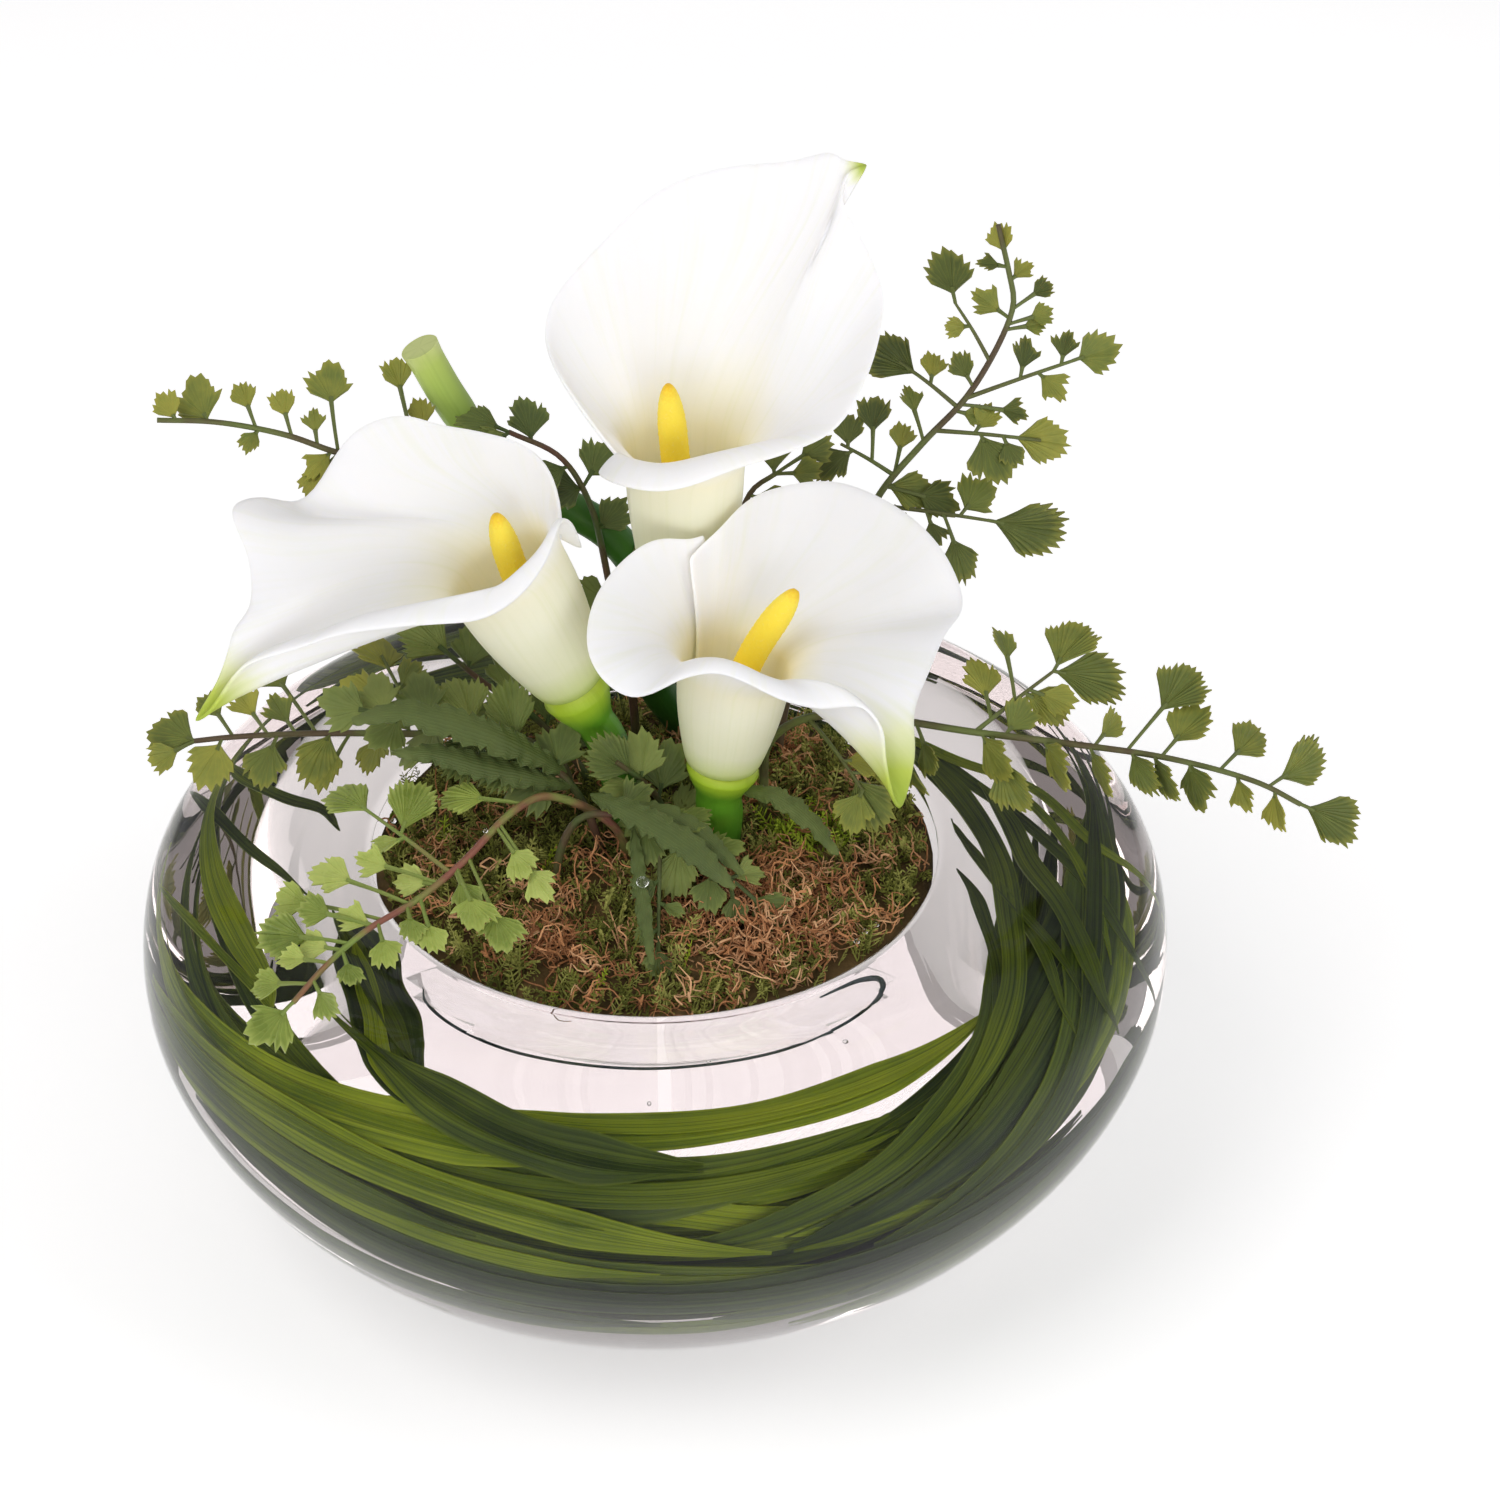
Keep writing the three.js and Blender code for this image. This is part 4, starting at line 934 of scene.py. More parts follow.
# ---------- fern sprays ----------
# Each spray has a midrib and the way its leaflets face. Leaflets: distance along the midrib,
# past the root, distance to its side, and width. Side stalks: where along the midrib they
# start, where they end (along and aside), and their leaflets, measured along the stalk.
# Ripeness draws the leaflets toward the pale end of their colours. Below_turn is how far, in
# degrees, the leaflets with a side distance below zero are rolled over.
FERNS = [
    {
        "name": "right_top", "kind": "olive", "facing": (0.1, -0.75, 0.66), "seed": 11, "root": 32,
        "rib": [(30, 32, 84), (34, 34, 116), (46, 42, 141), (56, 48, 164), (67, 52, 177),
            (78, 56, 188), (87, 60, 204), (89, 62, 211), (88, 64, 217), (85, 66, 230)],
        "leaflets": [(51, -6, 7), (61, -4, 10), (65, -12, 9), (78, 9, 6), (86, -4, 5),
            (92, -11, 6), (94, 5, 6), (111, -6, 5), (113, -7, 5), (114, 6, 7), (117, -7, 5),
            (122, -3, 5), (126, 4, 5), (131, 0, 6)],
        "stalks": [
            (62, (60, 15), [(3, -9, 6), (12, -10, 8), (13, 2, 9), (15, -3, 7)]),
            (85, (83, 18), [(11, -4, 6), (20, 0, 12)]),
            (99, (110, 14), [(12, 3, 5), (24, -3, 10)]),
            (88, (110, -23), [(17, 5, 7), (21, -4, 7), (27, 4, 6), (34, 0, 9)]),
            (77, (90, -21), [(12, 4, 6), (14, -5, 11), (19, -4, 6), (26, 0, 11)]),
            (53, (71, -27), [(16, -5, 6), (23, -10, 9), (25, 6, 9), (38, 0, 15)]),
        ],
    },
    {
        "name": "right", "kind": "olive", "facing": (0.15, -0.6, 0.78), "seed": 23, "root": 22,
        "ripeness": 0.25, "below_turn": 78,
        "rib": [(26, 8, 84), (27, 6, 106), (28, 4, 121), (36, 0, 131), (50, -6, 136),
            (77, -12, 135), (100, -16, 134), (124, -20, 132), (145, -22, 126), (155, -24, 121)],
        "leaflets": [(61, -12, 8), (63, -8, 8), (78, -6, 11), (83, -11, 12), (83, 5, 8),
            (93, -6, 11), (104, -6, 10), (105, 6, 7), (113, -4, 9), (119, -5, 10), (119, 17, 12),
            (123, 9, 10), (127, -4, 10), (138, 10, 10), (139, -4, 7), (149, -4, 8), (150, 9, 12),
            (162, 0, 12)],
        "stalks": [
            (73, (90, 18), [(10, 9, 9), (17, -3, 10), (19, 12, 7), (20, -6, 8), (30, -6, 14),
                (32, 3, 12)]),
            (31, (49, -19), [(18, 3, 9), (24, 7, 7), (28, 0, 11), (29, -4, 9)]),
        ],
    },
    {
        "name": "left", "kind": "olive", "facing": (-0.1, -0.6, 0.78), "seed": 31, "root": 29,
        "ripeness": 0.35,
        "rib": [(-20, 12, 84), (-23, 10, 113), (-37, 8, 122), (-54, 6, 124), (-82, 4, 126),
            (-102, 0, 128), (-111, 0, 127)],
        "leaflets": [(42, -4, 7), (49, 5, 9), (60, 10, 9), (62, 5, 11), (71, -6, 7), (72, -17, 9),
            (76, 7, 10), (79, -8, 7), (88, -9, 7), (89, 6, 10), (98, -3, 11), (100, 3, 7)],
        "stalks": [
            (37, (47, -20), [(14, -3, 7), (17, 9, 9), (24, 0, 10)]),
        ],
    },
    {
        "name": "top_left", "kind": "olive", "facing": (-0.1, -0.75, 0.66), "seed": 41, "root": 63,
        "ripeness": 0.6,
        "rib": [(-16, 32, 84), (-19, 31, 115), (-22, 30, 147), (-44, 34, 173), (-60, 34, 182),
            (-76, 32, 189), (-87, 30, 195), (-103, 28, 200), (-117, 26, 202)],
        "leaflets": [(53, -15, 6), (60, -22, 7), (73, 3, 7), (74, 8, 6), (78, -15, 9), (78, -5, 5),
            (86, -7, 6), (92, 3, 5), (95, -7, 6), (105, -4, 10), (111, -1, 6)],
    },
    {
        "name": "front_left", "kind": "bright", "facing": (-0.2, -0.5, 0.84), "seed": 53,
        "root": 26,
        "rib": [(-6, -13, 84), (-9, -13, 108), (-25, -18, 122), (-33, -26, 124), (-46, -44, 121),
            (-56, -55, 119), (-68, -66, 118), (-77, -74, 114), (-84, -82, 110)],
        "leaflets": [(36, -12, 9), (46, 11, 8), (48, 17, 8), (60, 6, 7), (62, 19, 9), (63, 13, 9),
            (66, -5, 7), (70, -14, 7), (74, 10, 7), (76, 6, 6), (81, -17, 9), (85, -4, 7),
            (86, 8, 7), (90, -12, 7), (91, -20, 8), (96, -6, 7), (96, 6, 6), (98, -14, 11),
            (101, -7, 6), (106, 6, 7), (109, -9, 7), (118, 0, 10)],
        "stalks": [
            (58, (56, -27), [(17, 4, 7), (20, -7, 12), (34, 0, 11)]),
        ],
    },
    {
        "name": "centre_left", "kind": "dark", "facing": (-0.1, -0.5, 0.84), "seed": 61,
        "root": 20,
        "rib": [(-12, -11, 84), (-14, -10, 104), (-20, -9, 119), (-34, -8, 132), (-51, -8, 137),
            (-65, -8, 140)],
        "leaflets": [(24, -4, 10), (25, 7, 11), (35, 7, 12), (37, -5, 12), (46, 7, 12),
            (48, -5, 12), (57, 7, 11), (59, -5, 11), (66, 5, 9), (69, -4, 9), (77, 0, 10)],
    },
    {
        "name": "centre_front", "kind": "dark", "facing": (0.05, -0.5, 0.84), "seed": 71,
        "root": 37,
        "rib": [(-23, -21, 84), (-23, -20, 106), (-18, -19, 116), (-10, -20, 118), (1, -23, 116),
            (11, -28, 111), (18, -32, 107)],
        "leaflets": [(9, 5, 8), (16, -5, 9), (21, 5, 10), (26, -6, 10), (31, 4, 9), (36, -6, 8),
            (40, 4, 7), (43, -5, 6), (50, 0, 9)],
        "stalks": [
            (17, (36, -26), [(15, -2, 6), (21, 3, 5), (27, -2, 5), (34, 0, 7)]),
        ],
    },
    {
        "name": "centre_back", "kind": "dark", "facing": (-0.1, -0.6, 0.78), "seed": 83,
        "root": 18,
        "rib": [(-14, 16, 84), (-16, 16, 102), (-28, 18, 119), (-42, 20, 130), (-52, 22, 139)],
        "leaflets": [(12, -6, 10), (15, 5, 10), (22, -6, 10), (30, 6, 11), (34, -6, 11),
            (41, 8, 10), (45, -3, 10), (56, 0, 12)],
    },
    {
        "name": "centre_right", "kind": "dark", "facing": (0, -0.5, 0.84), "seed": 97, "root": 14,
        "rib": [(4, -4, 84), (4, -5, 100), (1, -7, 113), (-3, -9, 120), (-9, -11, 127)],
        "leaflets": [(9, -6, 8), (13, 4, 10), (19, -7, 11), (26, -4, 10), (28, 7, 11),
            (34, 0, 12)],
    },
    {
        "name": "back_left", "kind": "dark", "facing": (0, -0.75, 0.66), "seed": 103, "root": 29,
        "rib": [(-4, 35, 84), (-5, 36, 113), (-10, 38, 144), (-15, 40, 169), (-22, 40, 182),
            (-34, 40, 189)],
        "leaflets": [(30, 4, 10), (38, -9, 7), (51, -4, 8), (63, 4, 11), (65, -7, 9), (71, 5, 9),
            (82, -4, 9), (88, 3, 9), (93, 0, 9)],
    },
    {
        "name": "back_mid", "kind": "olive", "facing": (0, -0.75, 0.66), "seed": 113, "root": 8,
        "rib": [(20, 39, 84), (20, 44, 125), (21, 48, 152), (25, 50, 165), (31, 50, 170)],
        "leaflets": [(40, 7, 8), (62, -7, 8), (70, 6, 8), (76, -5, 8), (84, 4, 8), (89, -4, 7),
            (94, 0, 8)],
    },
]
RIB_FOOT = 1.2               # radius of a midrib at its foot
RIB_TIP = 0.65               # and at its tip
LEAFLET_GROWTH = 1.06        # how much wider leaflets are drawn than they are listed
LEAFLET_WIDTHS = (8.5, 12)   # widths from which the next larger patterns are taken
LEAFLET_REACH = 1.04         # length of a leaflet for its width
LEAFLET_ROLL = 38            # degrees a leaflet may be rolled about its own length
BROWNNESS = {"rib": 1.0, "side_stalk": 0.4, "leaflet_stalk": 0.1}
NARROW, WIDE = 44, 62        # half angles of the wedges that leaflets are cut from


def leaflet_pattern(teeth, seed):
    """A toothed wedge leaflet, one unit long, with its foot at the origin and its tip along +X.
    Its outer edge has one to three lobes, each cut into sharp teeth."""
    chance = random.Random(seed)
    nodes = teeth * 2
    lobes = chance.choice((1, 2, 2, 3))
    shift = chance.uniform(-0.35, 0.35)
    cleft = chance.uniform(0.10, 0.24)
    half = chance.uniform(NARROW, WIDE)
    rims = []
    for k in range(nodes + 1):
        side = 2 * k / nodes - 1
        round_off = 1 - (0.24 + 0.2 * (half - NARROW) / (WIDE - NARROW)) * side ** 2
        lobe = cleft * (abs(math.cos((side * lobes / 2 + shift) * math.pi)) - 0.72)
        tooth = chance.uniform(0.02, 0.15) if k % 2 else -chance.uniform(0.0, 0.07)
        jitter = chance.uniform(-0.34, 0.34) / teeth if 0 < k < nodes else 0.0
        rims.append((half * (side + jitter), round_off + lobe + tooth))
    droop = chance.uniform(0.05, 0.22)
    cup = chance.uniform(-0.15, 0.35)
    fold = chance.uniform(-0.05, 0.22)

    def place(u, v):
        turn, reach = rims[round(u * nodes)]
        x = reach * math.cos(math.radians(turn)) * v
        y = reach * math.sin(math.radians(turn)) * 0.92 * v ** 1.2
        ridge = 0.012 * math.cos(u * nodes * math.pi) * v
        return Vector((x, y, cup * y * y + fold * abs(y) - droop * x * x + ridge)) / MM

    piece = laid_grid(f"leaflet_{teeth}_{seed}", nodes, 3, place)
    weld(1e-5, outward=False)
    thickened(piece, 0.04)
    return piece


def copied(pattern, matrix, tint):
    """A copy of a pattern, laid down by a matrix."""
    piece = pattern.copy()
    piece.data = pattern.data.copy()
    bpy.context.scene.collection.objects.link(piece)
    piece.data.transform(matrix)
    mark(piece, "tint", tint)
    return piece


def turned_to(origin, ahead, aside, scale):
    """A matrix that lays +X along ahead and +Y along aside, at origin, in mm."""
    normal = ahead.cross(aside).normalized()
    aside = normal.cross(ahead).normalized()
    turn = Matrix((ahead, aside, normal)).transposed().to_4x4()
    return Matrix.Translation(origin * MM) @ turn @ Matrix.Scale(scale * MM, 4)


def make_leaflet(patterns, rib, offset, row, facing, chance, ripeness, below_turn=0):
    """One leaflet and its own short stalk, on a midrib or a side stalk."""
    along, aside, width = row
    width *= LEAFLET_GROWTH
    s = along + offset
    back = width / 2 + 1.5 if aside == 0 else abs(aside) * 0.55
    foot_at = min(s - back, rib.length - 0.3)
    foot = rib.at(foot_at)
    across = facing.cross(rib.ahead(s)).normalized()
    centre = rib.at(s) + rib.ahead(s) * max(s - rib.length, 0) + across * aside
    reach = max((foot - centre).length - width / 2, 0.6)
    ahead = (centre - foot).normalized()
    hinge = facing.cross(ahead).normalized()
    ahead = Matrix.Rotation(math.radians(chance.uniform(-10, 12)), 3, hinge) @ ahead
    if aside > -1:
        roll = chance.uniform(-LEAFLET_ROLL, LEAFLET_ROLL)
    else:
        roll = below_turn + chance.uniform(-16, 16)
    sideways = Matrix.Rotation(math.radians(roll), 3, ahead) @ hinge
    pattern = chance.choice(patterns[sum(width >= step for step in LEAFLET_WIDTHS)])
    start = foot + ahead * reach
    tint = mix(chance.random(), 1.0, ripeness)
    blade = copied(pattern, turned_to(start, ahead, sideways, width * LEAFLET_REACH), tint)
    bow = foot.lerp(start, 0.5) + facing * (0.06 * reach)
    stalk = rod("leaflet_stalk", [foot, bow, start + ahead * (width * 0.16)],
                lambda share, turn: mix(0.48, 0.68, share ** 3), 5, 5)
    mark(stalk, "tint", BROWNNESS["leaflet_stalk"])
    return blade, stalk


# Long deeply toothed leaves that lie over the sprays: name, half width, path.
TOOTHED = [
    ("over_left", 5.2, [(-21, -8, 122), (-29, -12, 130.5), (-36.5, -16, 138), (-50.5, -18, 145),
        (-61, -19, 148), (-71.3, -20, 146)]),
    ("over_left_under", 4.2, [(-20, -10, 119), (-30, -15, 126), (-41, -19, 132), (-52, -21, 137),
        (-62, -23, 139)]),
    ("over_front", 4.4, [(-15.3, -18, 122.5), (-10.5, -22, 123), (-1, -28, 121.2),
        (8.4, -33, 117.3), (19, -38, 108.6)]),
    ("over_front_right", 3.0, [(-8, -18, 119), (2, -22, 120), (12, -27, 116), (21, -33, 109)]),
    ("hanging", 2.2, [(-5, -24, 117), (-4, -34, 112), (-2.6, -46, 106), (-1, -57, 100.5)]),
    ("right_low", 3.2, [(20, -10, 118), (29, -16, 120), (38, -22, 116), (44, -27, 110)]),
]


def make_toothed(finish):
    """Leaves drawn out to a point, deeply and unevenly cut down both sides and folded."""
    chance = random.Random(19)
    pieces = []
    for name, half, path in TOOTHED:
        course = Course(path)
        rows = max(int(course.length / 0.95), 14)
        cuts = {-1: [], 1: []}
        for way in cuts:
            depth, left = 0.0, 0
            for _ in range(rows + 1):
                if left == 0:
                    depth, left = chance.uniform(0.12, 0.55), chance.choice((2, 3, 4, 5))
                    span = left
                left -= 1
                cuts[way].append(depth * (left + 0.5) / span)

        def place(u, v):
            row = round(v * rows)
            side = 2 * u - 1
            distance = v * course.length
            body = half * math.sin(math.pi * clamp(v * 0.88 + 0.09)) ** 0.7
            cut = cuts[1 if side > 0 else -1][row]
            reach = body * (1 - cut * max(abs(side) - 0.3, 0) / 0.7)
            heading = course.ahead(distance)
            across = Vector((0, -0.5, 0.85)).cross(heading).normalized()
            up = heading.cross(across).normalized()
            wave = 0.5 * math.sin(row * 1.3 + side * 2)
            swept = course.at(distance) + heading * (2.0 * abs(side) * (1 - v))
            droop = 0.22 * reach * abs(side) + wave * abs(side)
            return swept + across * (side * reach) - up * droop

        piece = laid_grid(f"toothed_{name}", 8, rows, place)
        thickened(piece, LEAF_SHEET * MM)
        mark(piece, "tint", chance.uniform(0.35, 0.75))
        pieces.append(piece)
    dress(joined("toothed_leaves", pieces), finish, 35, "dark_fern")


def make_fern(fern, patterns, leaf_finish, twig_finish):
    """A whole spray: one piece of leaflets, and one of its midrib and stalks."""
    chance = random.Random(fern["seed"])
    facing = Vector(fern["facing"]).normalized()
    ripeness = fern.get("ripeness", 0.0)
    rib = Course(fern["rib"])
    blades, twigs = [], []
    twigs.append(rod("rib", rib, lambda share, turn: mix(RIB_FOOT, RIB_TIP, share), 8,
                     int(rib.length / 2.2)))
    mark(twigs[0], "tint", BROWNNESS["rib"])
    for row in fern["leaflets"]:
        blade, stalk = make_leaflet(patterns, rib, fern["root"], row, facing, chance,
                                    ripeness, fern.get("below_turn", 0))
        blades.append(blade)
        twigs.append(stalk)
    for start, (end_along, end_aside), leaflets in fern.get("stalks", ()):
        foot = rib.at(start + fern["root"])
        end_at = end_along + fern["root"]
        across = facing.cross(rib.ahead(end_at)).normalized()
        end = rib.at(end_at) + across * end_aside
        bend = foot.lerp(end, 0.5) + facing * 1.2
        course = Course([foot, bend, end])
        twig = rod("side_stalk", course, lambda share, turn: mix(0.62, 0.4, share), 6, 12)
        mark(twig, "tint", BROWNNESS["side_stalk"])
        twigs.append(twig)
        for row in leaflets:
            blade, stalk = make_leaflet(patterns, course, 0, row, facing, chance, ripeness)
            blades.append(blade)
            twigs.append(stalk)
    name, slot_name = fern["name"], f"{fern['kind']}_fern"
    dress(joined(f"{name}_leaflets", blades), leaf_finish, 40, slot_name, f"fern_{name}")
    dress(joined(f"{name}_ribs", twigs), twig_finish, 70, slot_name)


# ---------- coiled leaves ----------
# Name, kind, width, inset and path. The inset is how far in from the wall the leaf lies, and
# each point of its path is an angle round the bowl and a share of the way up the wall.
BLADES = [
    ("crossing", "middle", 11, 1.9, [(-141, 0.82), (-128, 0.79), (-118, 0.75), (-108, 0.71),
        (-97, 0.68), (-85, 0.665)]),
    ("bright_rib", "bright", 9, 1.9, [(-168, 0.55), (-150, 0.565), (-136, 0.58), (-122, 0.575),
        (-108, 0.56), (-96, 0.535), (-78, 0.49)]),
    ("thin_left", "bright", 6.5, 1.9, [(150, 0.72), (168, 0.73), (184, 0.76), (200, 0.78),
        (212, 0.765), (216.5, 0.71)]),
    ("right_wisp", "middle", 5.5, 1.9, [(16, 0.93), (4, 0.91), (-8, 0.88), (-17, 0.81),
        (-23, 0.74), (-27, 0.65), (-27, 0.56)]),
    ("left_band", "bright", 10, 3.5, [(-186, 0.63), (-172, 0.6), (-156, 0.59), (-142, 0.61),
        (-130, 0.645), (-118, 0.675), (-104, 0.69), (-90, 0.69)]),
    ("low_band", "dark", 13, 1.9, [(-152, 0.485), (-139, 0.47), (-124, 0.44), (-108, 0.42),
        (-92, 0.412), (-76, 0.412), (-62, 0.42), (-48, 0.44), (-34, 0.47), (-22, 0.5)]),
    ("right_sweep", "middle", 7, 3.5, [(-91, 0.508), (-82, 0.52), (-74, 0.545), (-64, 0.59),
        (-55, 0.66), (-46, 0.74), (-38, 0.81), (-30, 0.87), (-20, 0.91)]),
    ("right_outer", "middle", 12, 3.5, [(-66, 0.455), (-53, 0.49), (-42, 0.545), (-33, 0.625),
        (-25, 0.7), (-14, 0.75), (-2, 0.76), (12, 0.73), (26, 0.7)]),
    ("top_front", "bright", 8, 5.1, [(-124, 0.72), (-104, 0.745), (-86, 0.76), (-70, 0.775),
        (-54, 0.79), (-41, 0.805)]),
    ("middle_band", "middle", 13, 5.1, [(-186, 0.71), (-176, 0.685), (-166, 0.66), (-150, 0.625),
        (-134, 0.605), (-116, 0.6), (-100, 0.61), (-86, 0.625), (-74, 0.655), (-62, 0.695)]),
    ("broad_right", "dark", 14, 5.1, [(-76, 0.48), (-62, 0.53), (-52, 0.59), (-43, 0.66),
        (-34, 0.715), (-22, 0.745), (-8, 0.74), (8, 0.72), (24, 0.68)]),
    ("under_band", "middle", 10, 3.5, [(-164, 0.52), (-150, 0.505), (-130, 0.49), (-112, 0.475),
        (-97, 0.457), (-84, 0.447), (-70, 0.44)]),
    ("left_rise", "middle", 4.5, 6.7, [(128, 0.6), (146, 0.64), (164, 0.69), (180, 0.74),
        (196, 0.76), (212, 0.73), (226, 0.68), (240, 0.63), (252, 0.59)]),
    ("right_inner", "middle", 5, 6.95, [(-88, 0.5), (-74, 0.52), (-62, 0.57), (-52, 0.64),
        (-43, 0.72), (-35, 0.79), (-25, 0.85), (-12, 0.88), (4, 0.87)]),
    ("back_right", "dark", 12, 1.9, [(-12, 0.58), (6, 0.56), (24, 0.54), (44, 0.53), (64, 0.54),
        (84, 0.57), (104, 0.61), (124, 0.66)]),
    ("back_left", "middle", 12, 3.5, [(30, 0.64), (48, 0.6), (68, 0.56), (88, 0.53), (108, 0.5),
        (130, 0.49), (152, 0.5), (174, 0.52)]),
]

# Further leaves that fill the coil out, mostly behind the ones above: kind, width, inset, path.
# The dark ones are partly painted shade: set behind, they darken the gaps between the strands.
DEEPER = [
    ("middle", 15, 8.5, [(-150, 0.54), (-140, 0.535), (-128, 0.53), (-112, 0.51), (-96, 0.5),
        (-80, 0.49), (-64, 0.5), (-50, 0.54), (-38, 0.58)]),
    ("dark", 16, 9.5, [(-150, 0.49), (-137, 0.49), (-122, 0.46), (-108, 0.45), (-92, 0.45),
        (-75, 0.45), (-58, 0.46), (-44, 0.5), (-30, 0.56), (-18, 0.62)]),
    ("bright", 6, 8.0, [(206, 0.56), (216, 0.58), (230, 0.59), (244, 0.58), (260, 0.59),
        (274, 0.61), (288, 0.63)]),
    ("dark", 6, 9.0, [(-100, 0.53), (-86, 0.56), (-74, 0.6), (-60, 0.66), (-47, 0.74), (-36, 0.8),
        (-22, 0.84), (-6, 0.85), (6, 0.83)]),
    ("middle", 5, 8.4, [(-80, 0.56), (-68, 0.61), (-54, 0.67), (-38, 0.73), (-22, 0.79),
        (-6, 0.79), (4, 0.77)]),
    ("bright", 7, 7.8, [(-75, 0.46), (-64, 0.47), (-51, 0.5), (-38, 0.54), (-25, 0.58),
        (-15, 0.65), (-4, 0.73), (6, 0.8)]),
    ("middle", 3.2, 3.0, [(40, 0.985), (27, 0.98), (14, 0.97), (1, 0.95), (-17, 0.9), (-27, 0.8),
        (-33, 0.7), (-34, 0.6)]),
    ("bright", 8, 8.2, [(-146, 0.62), (-136, 0.64), (-122, 0.64), (-106, 0.63), (-92, 0.61),
        (-76, 0.6), (-60, 0.6)]),
    ("dark", 16, 11.0, [(-148, 0.56), (-138, 0.555), (-122, 0.55), (-100, 0.55), (-80, 0.56),
        (-62, 0.6), (-46, 0.65), (-34, 0.69)]),
    ("dark", 15, 12.0, [(-150, 0.49), (-140, 0.49), (-126, 0.49), (-104, 0.49), (-84, 0.5),
        (-64, 0.53), (-46, 0.58), (-30, 0.63), (-12, 0.66)]),
    ("middle", 9, 9.2, [(-132, 0.42), (-116, 0.4), (-98, 0.385), (-80, 0.385), (-64, 0.4),
        (-48, 0.43), (-34, 0.47)]),
    ("bright", 1.8, 1.6, [(-179, 0.62), (-165.5, 0.705), (-155, 0.74), (-147, 0.745),
        (-140, 0.72)]),
    ("dark", 12, 6.5, [(46, 0.6), (56, 0.62), (78, 0.63), (98, 0.63)]),
    ("middle", 6, 8.0, [(52, 0.7), (62, 0.7), (84, 0.72), (104, 0.74), (124, 0.74), (144, 0.72)]),
    ("dark", 13, 6.0, [(50, 0.46), (60, 0.46), (80, 0.47), (104, 0.48), (128, 0.5)]),
    ("middle", 8, 5.0, [(60, 0.6), (82, 0.62), (104, 0.6), (122, 0.56)]),
    ("bright", 7, 6.6, [(-120, 0.62), (-104, 0.6), (-90, 0.57), (-78, 0.53), (-66, 0.5),
        (-56, 0.48)]),
    ("middle", 3.5, 10.0, [(-64, 0.56), (-54, 0.61), (-44, 0.68), (-36, 0.76), (-29, 0.83),
        (-18, 0.88), (-4, 0.9), (14, 0.89), (30, 0.84)]),
    ("dark", 5, 7.4, [(-58, 0.5), (-48, 0.55), (-38, 0.62), (-30, 0.7), (-20, 0.76), (-8, 0.8),
        (2, 0.79)]),
    ("middle", 2.6, 2.2, [(8, 0.99), (-3, 0.965), (-14, 0.92), (-21, 0.86), (-26, 0.78),
        (-30, 0.68)]),
    ("bright", 2.4, 2.9, [(18, 0.9), (6, 0.86), (-6, 0.8), (-16, 0.73), (-22, 0.66)]),
    ("middle", 4.2, 3.0, [(-200, 0.7), (-195, 0.8), (-192, 0.88), (-191, 0.935), (-186, 0.965)]),
    ("middle", 3.0, 3.0, [(-196, 0.63), (-186, 0.77), (-178, 0.845), (-173, 0.885), (-166, 0.92)]),
    ("dark", 15, 3.4, [(-161, 0.965), (-150, 0.95), (-142, 0.92), (-132, 0.865), (-124.5, 0.785),
        (-119, 0.72)]),
    ("bright", 5, 2.4, [(-152, 0.945), (-143, 0.915), (-134, 0.86), (-127, 0.78), (-121, 0.72)]),
    ("dark", 13, 2.0, [(-168, 0.46), (-157, 0.42), (-142, 0.385), (-124, 0.355), (-106, 0.345),
        (-90, 0.345)]),
    ("middle", 9, 3.2, [(-152, 0.395), (-134, 0.355), (-116, 0.328), (-98, 0.32), (-80, 0.322),
        (-64, 0.34)]),
    ("dark", 14, 2.4, [(-84, 0.35), (-68, 0.365), (-52, 0.395), (-38, 0.43), (-24, 0.465),
        (-8, 0.5)]),
    ("middle", 8, 3.6, [(-68, 0.335), (-54, 0.355), (-40, 0.385), (-26, 0.425), (-12, 0.46)]),
    ("middle", 6, 2.2, [(-62, 0.6), (-53.5, 0.66), (-38.5, 0.78), (-23, 0.88), (-8, 0.925),
        (8, 0.955), (24, 0.97), (40, 0.98)]),
    ("bright", 3, 2.8, [(-5, 0.5), (-4, 0.6), (-1.5, 0.765), (11.5, 0.855), (22.5, 0.93),
        (34, 0.96), (50, 0.975)]),
    ("middle", 3.6, 3.2, [(-14, 0.475), (-17, 0.6), (-15, 0.7), (-3, 0.845), (14, 0.93),
        (30, 0.96), (46, 0.975)]),
    ("dark", 3.4, 3.0, [(-46, 0.72), (-41, 0.78), (-35, 0.835), (-25, 0.91), (-14, 0.96),
        (-8, 0.985)]),
    ("middle", 12, 2.8, [(-166, 0.37), (-160, 0.35), (-152, 0.325), (-138, 0.3), (-126, 0.29)]),
    ("dark", 11, 3.4, [(-162, 0.31), (-156, 0.29), (-150, 0.27), (-136, 0.26)]),
    ("middle", 15, 2.8, [(-74, 0.29), (-56, 0.305), (-40, 0.335), (-24, 0.375), (-10, 0.41),
        (3, 0.44)]),
    ("dark", 13, 3.6, [(-64, 0.25), (-48, 0.27), (-32, 0.3), (-16, 0.33), (-2, 0.365)]),
    ("middle", 10, 3.0, [(56, 0.43), (74, 0.41), (92, 0.4), (112, 0.4), (130, 0.42)]),
    ("bright", 6, 2.2, [(-160, 0.5), (-140, 0.5), (-122, 0.485), (-106, 0.47), (-90, 0.465)]),
    ("middle", 6, 1.3, [(-176, 0.52), (-160, 0.52), (-143, 0.525), (-126, 0.52), (-110, 0.505)]),
]


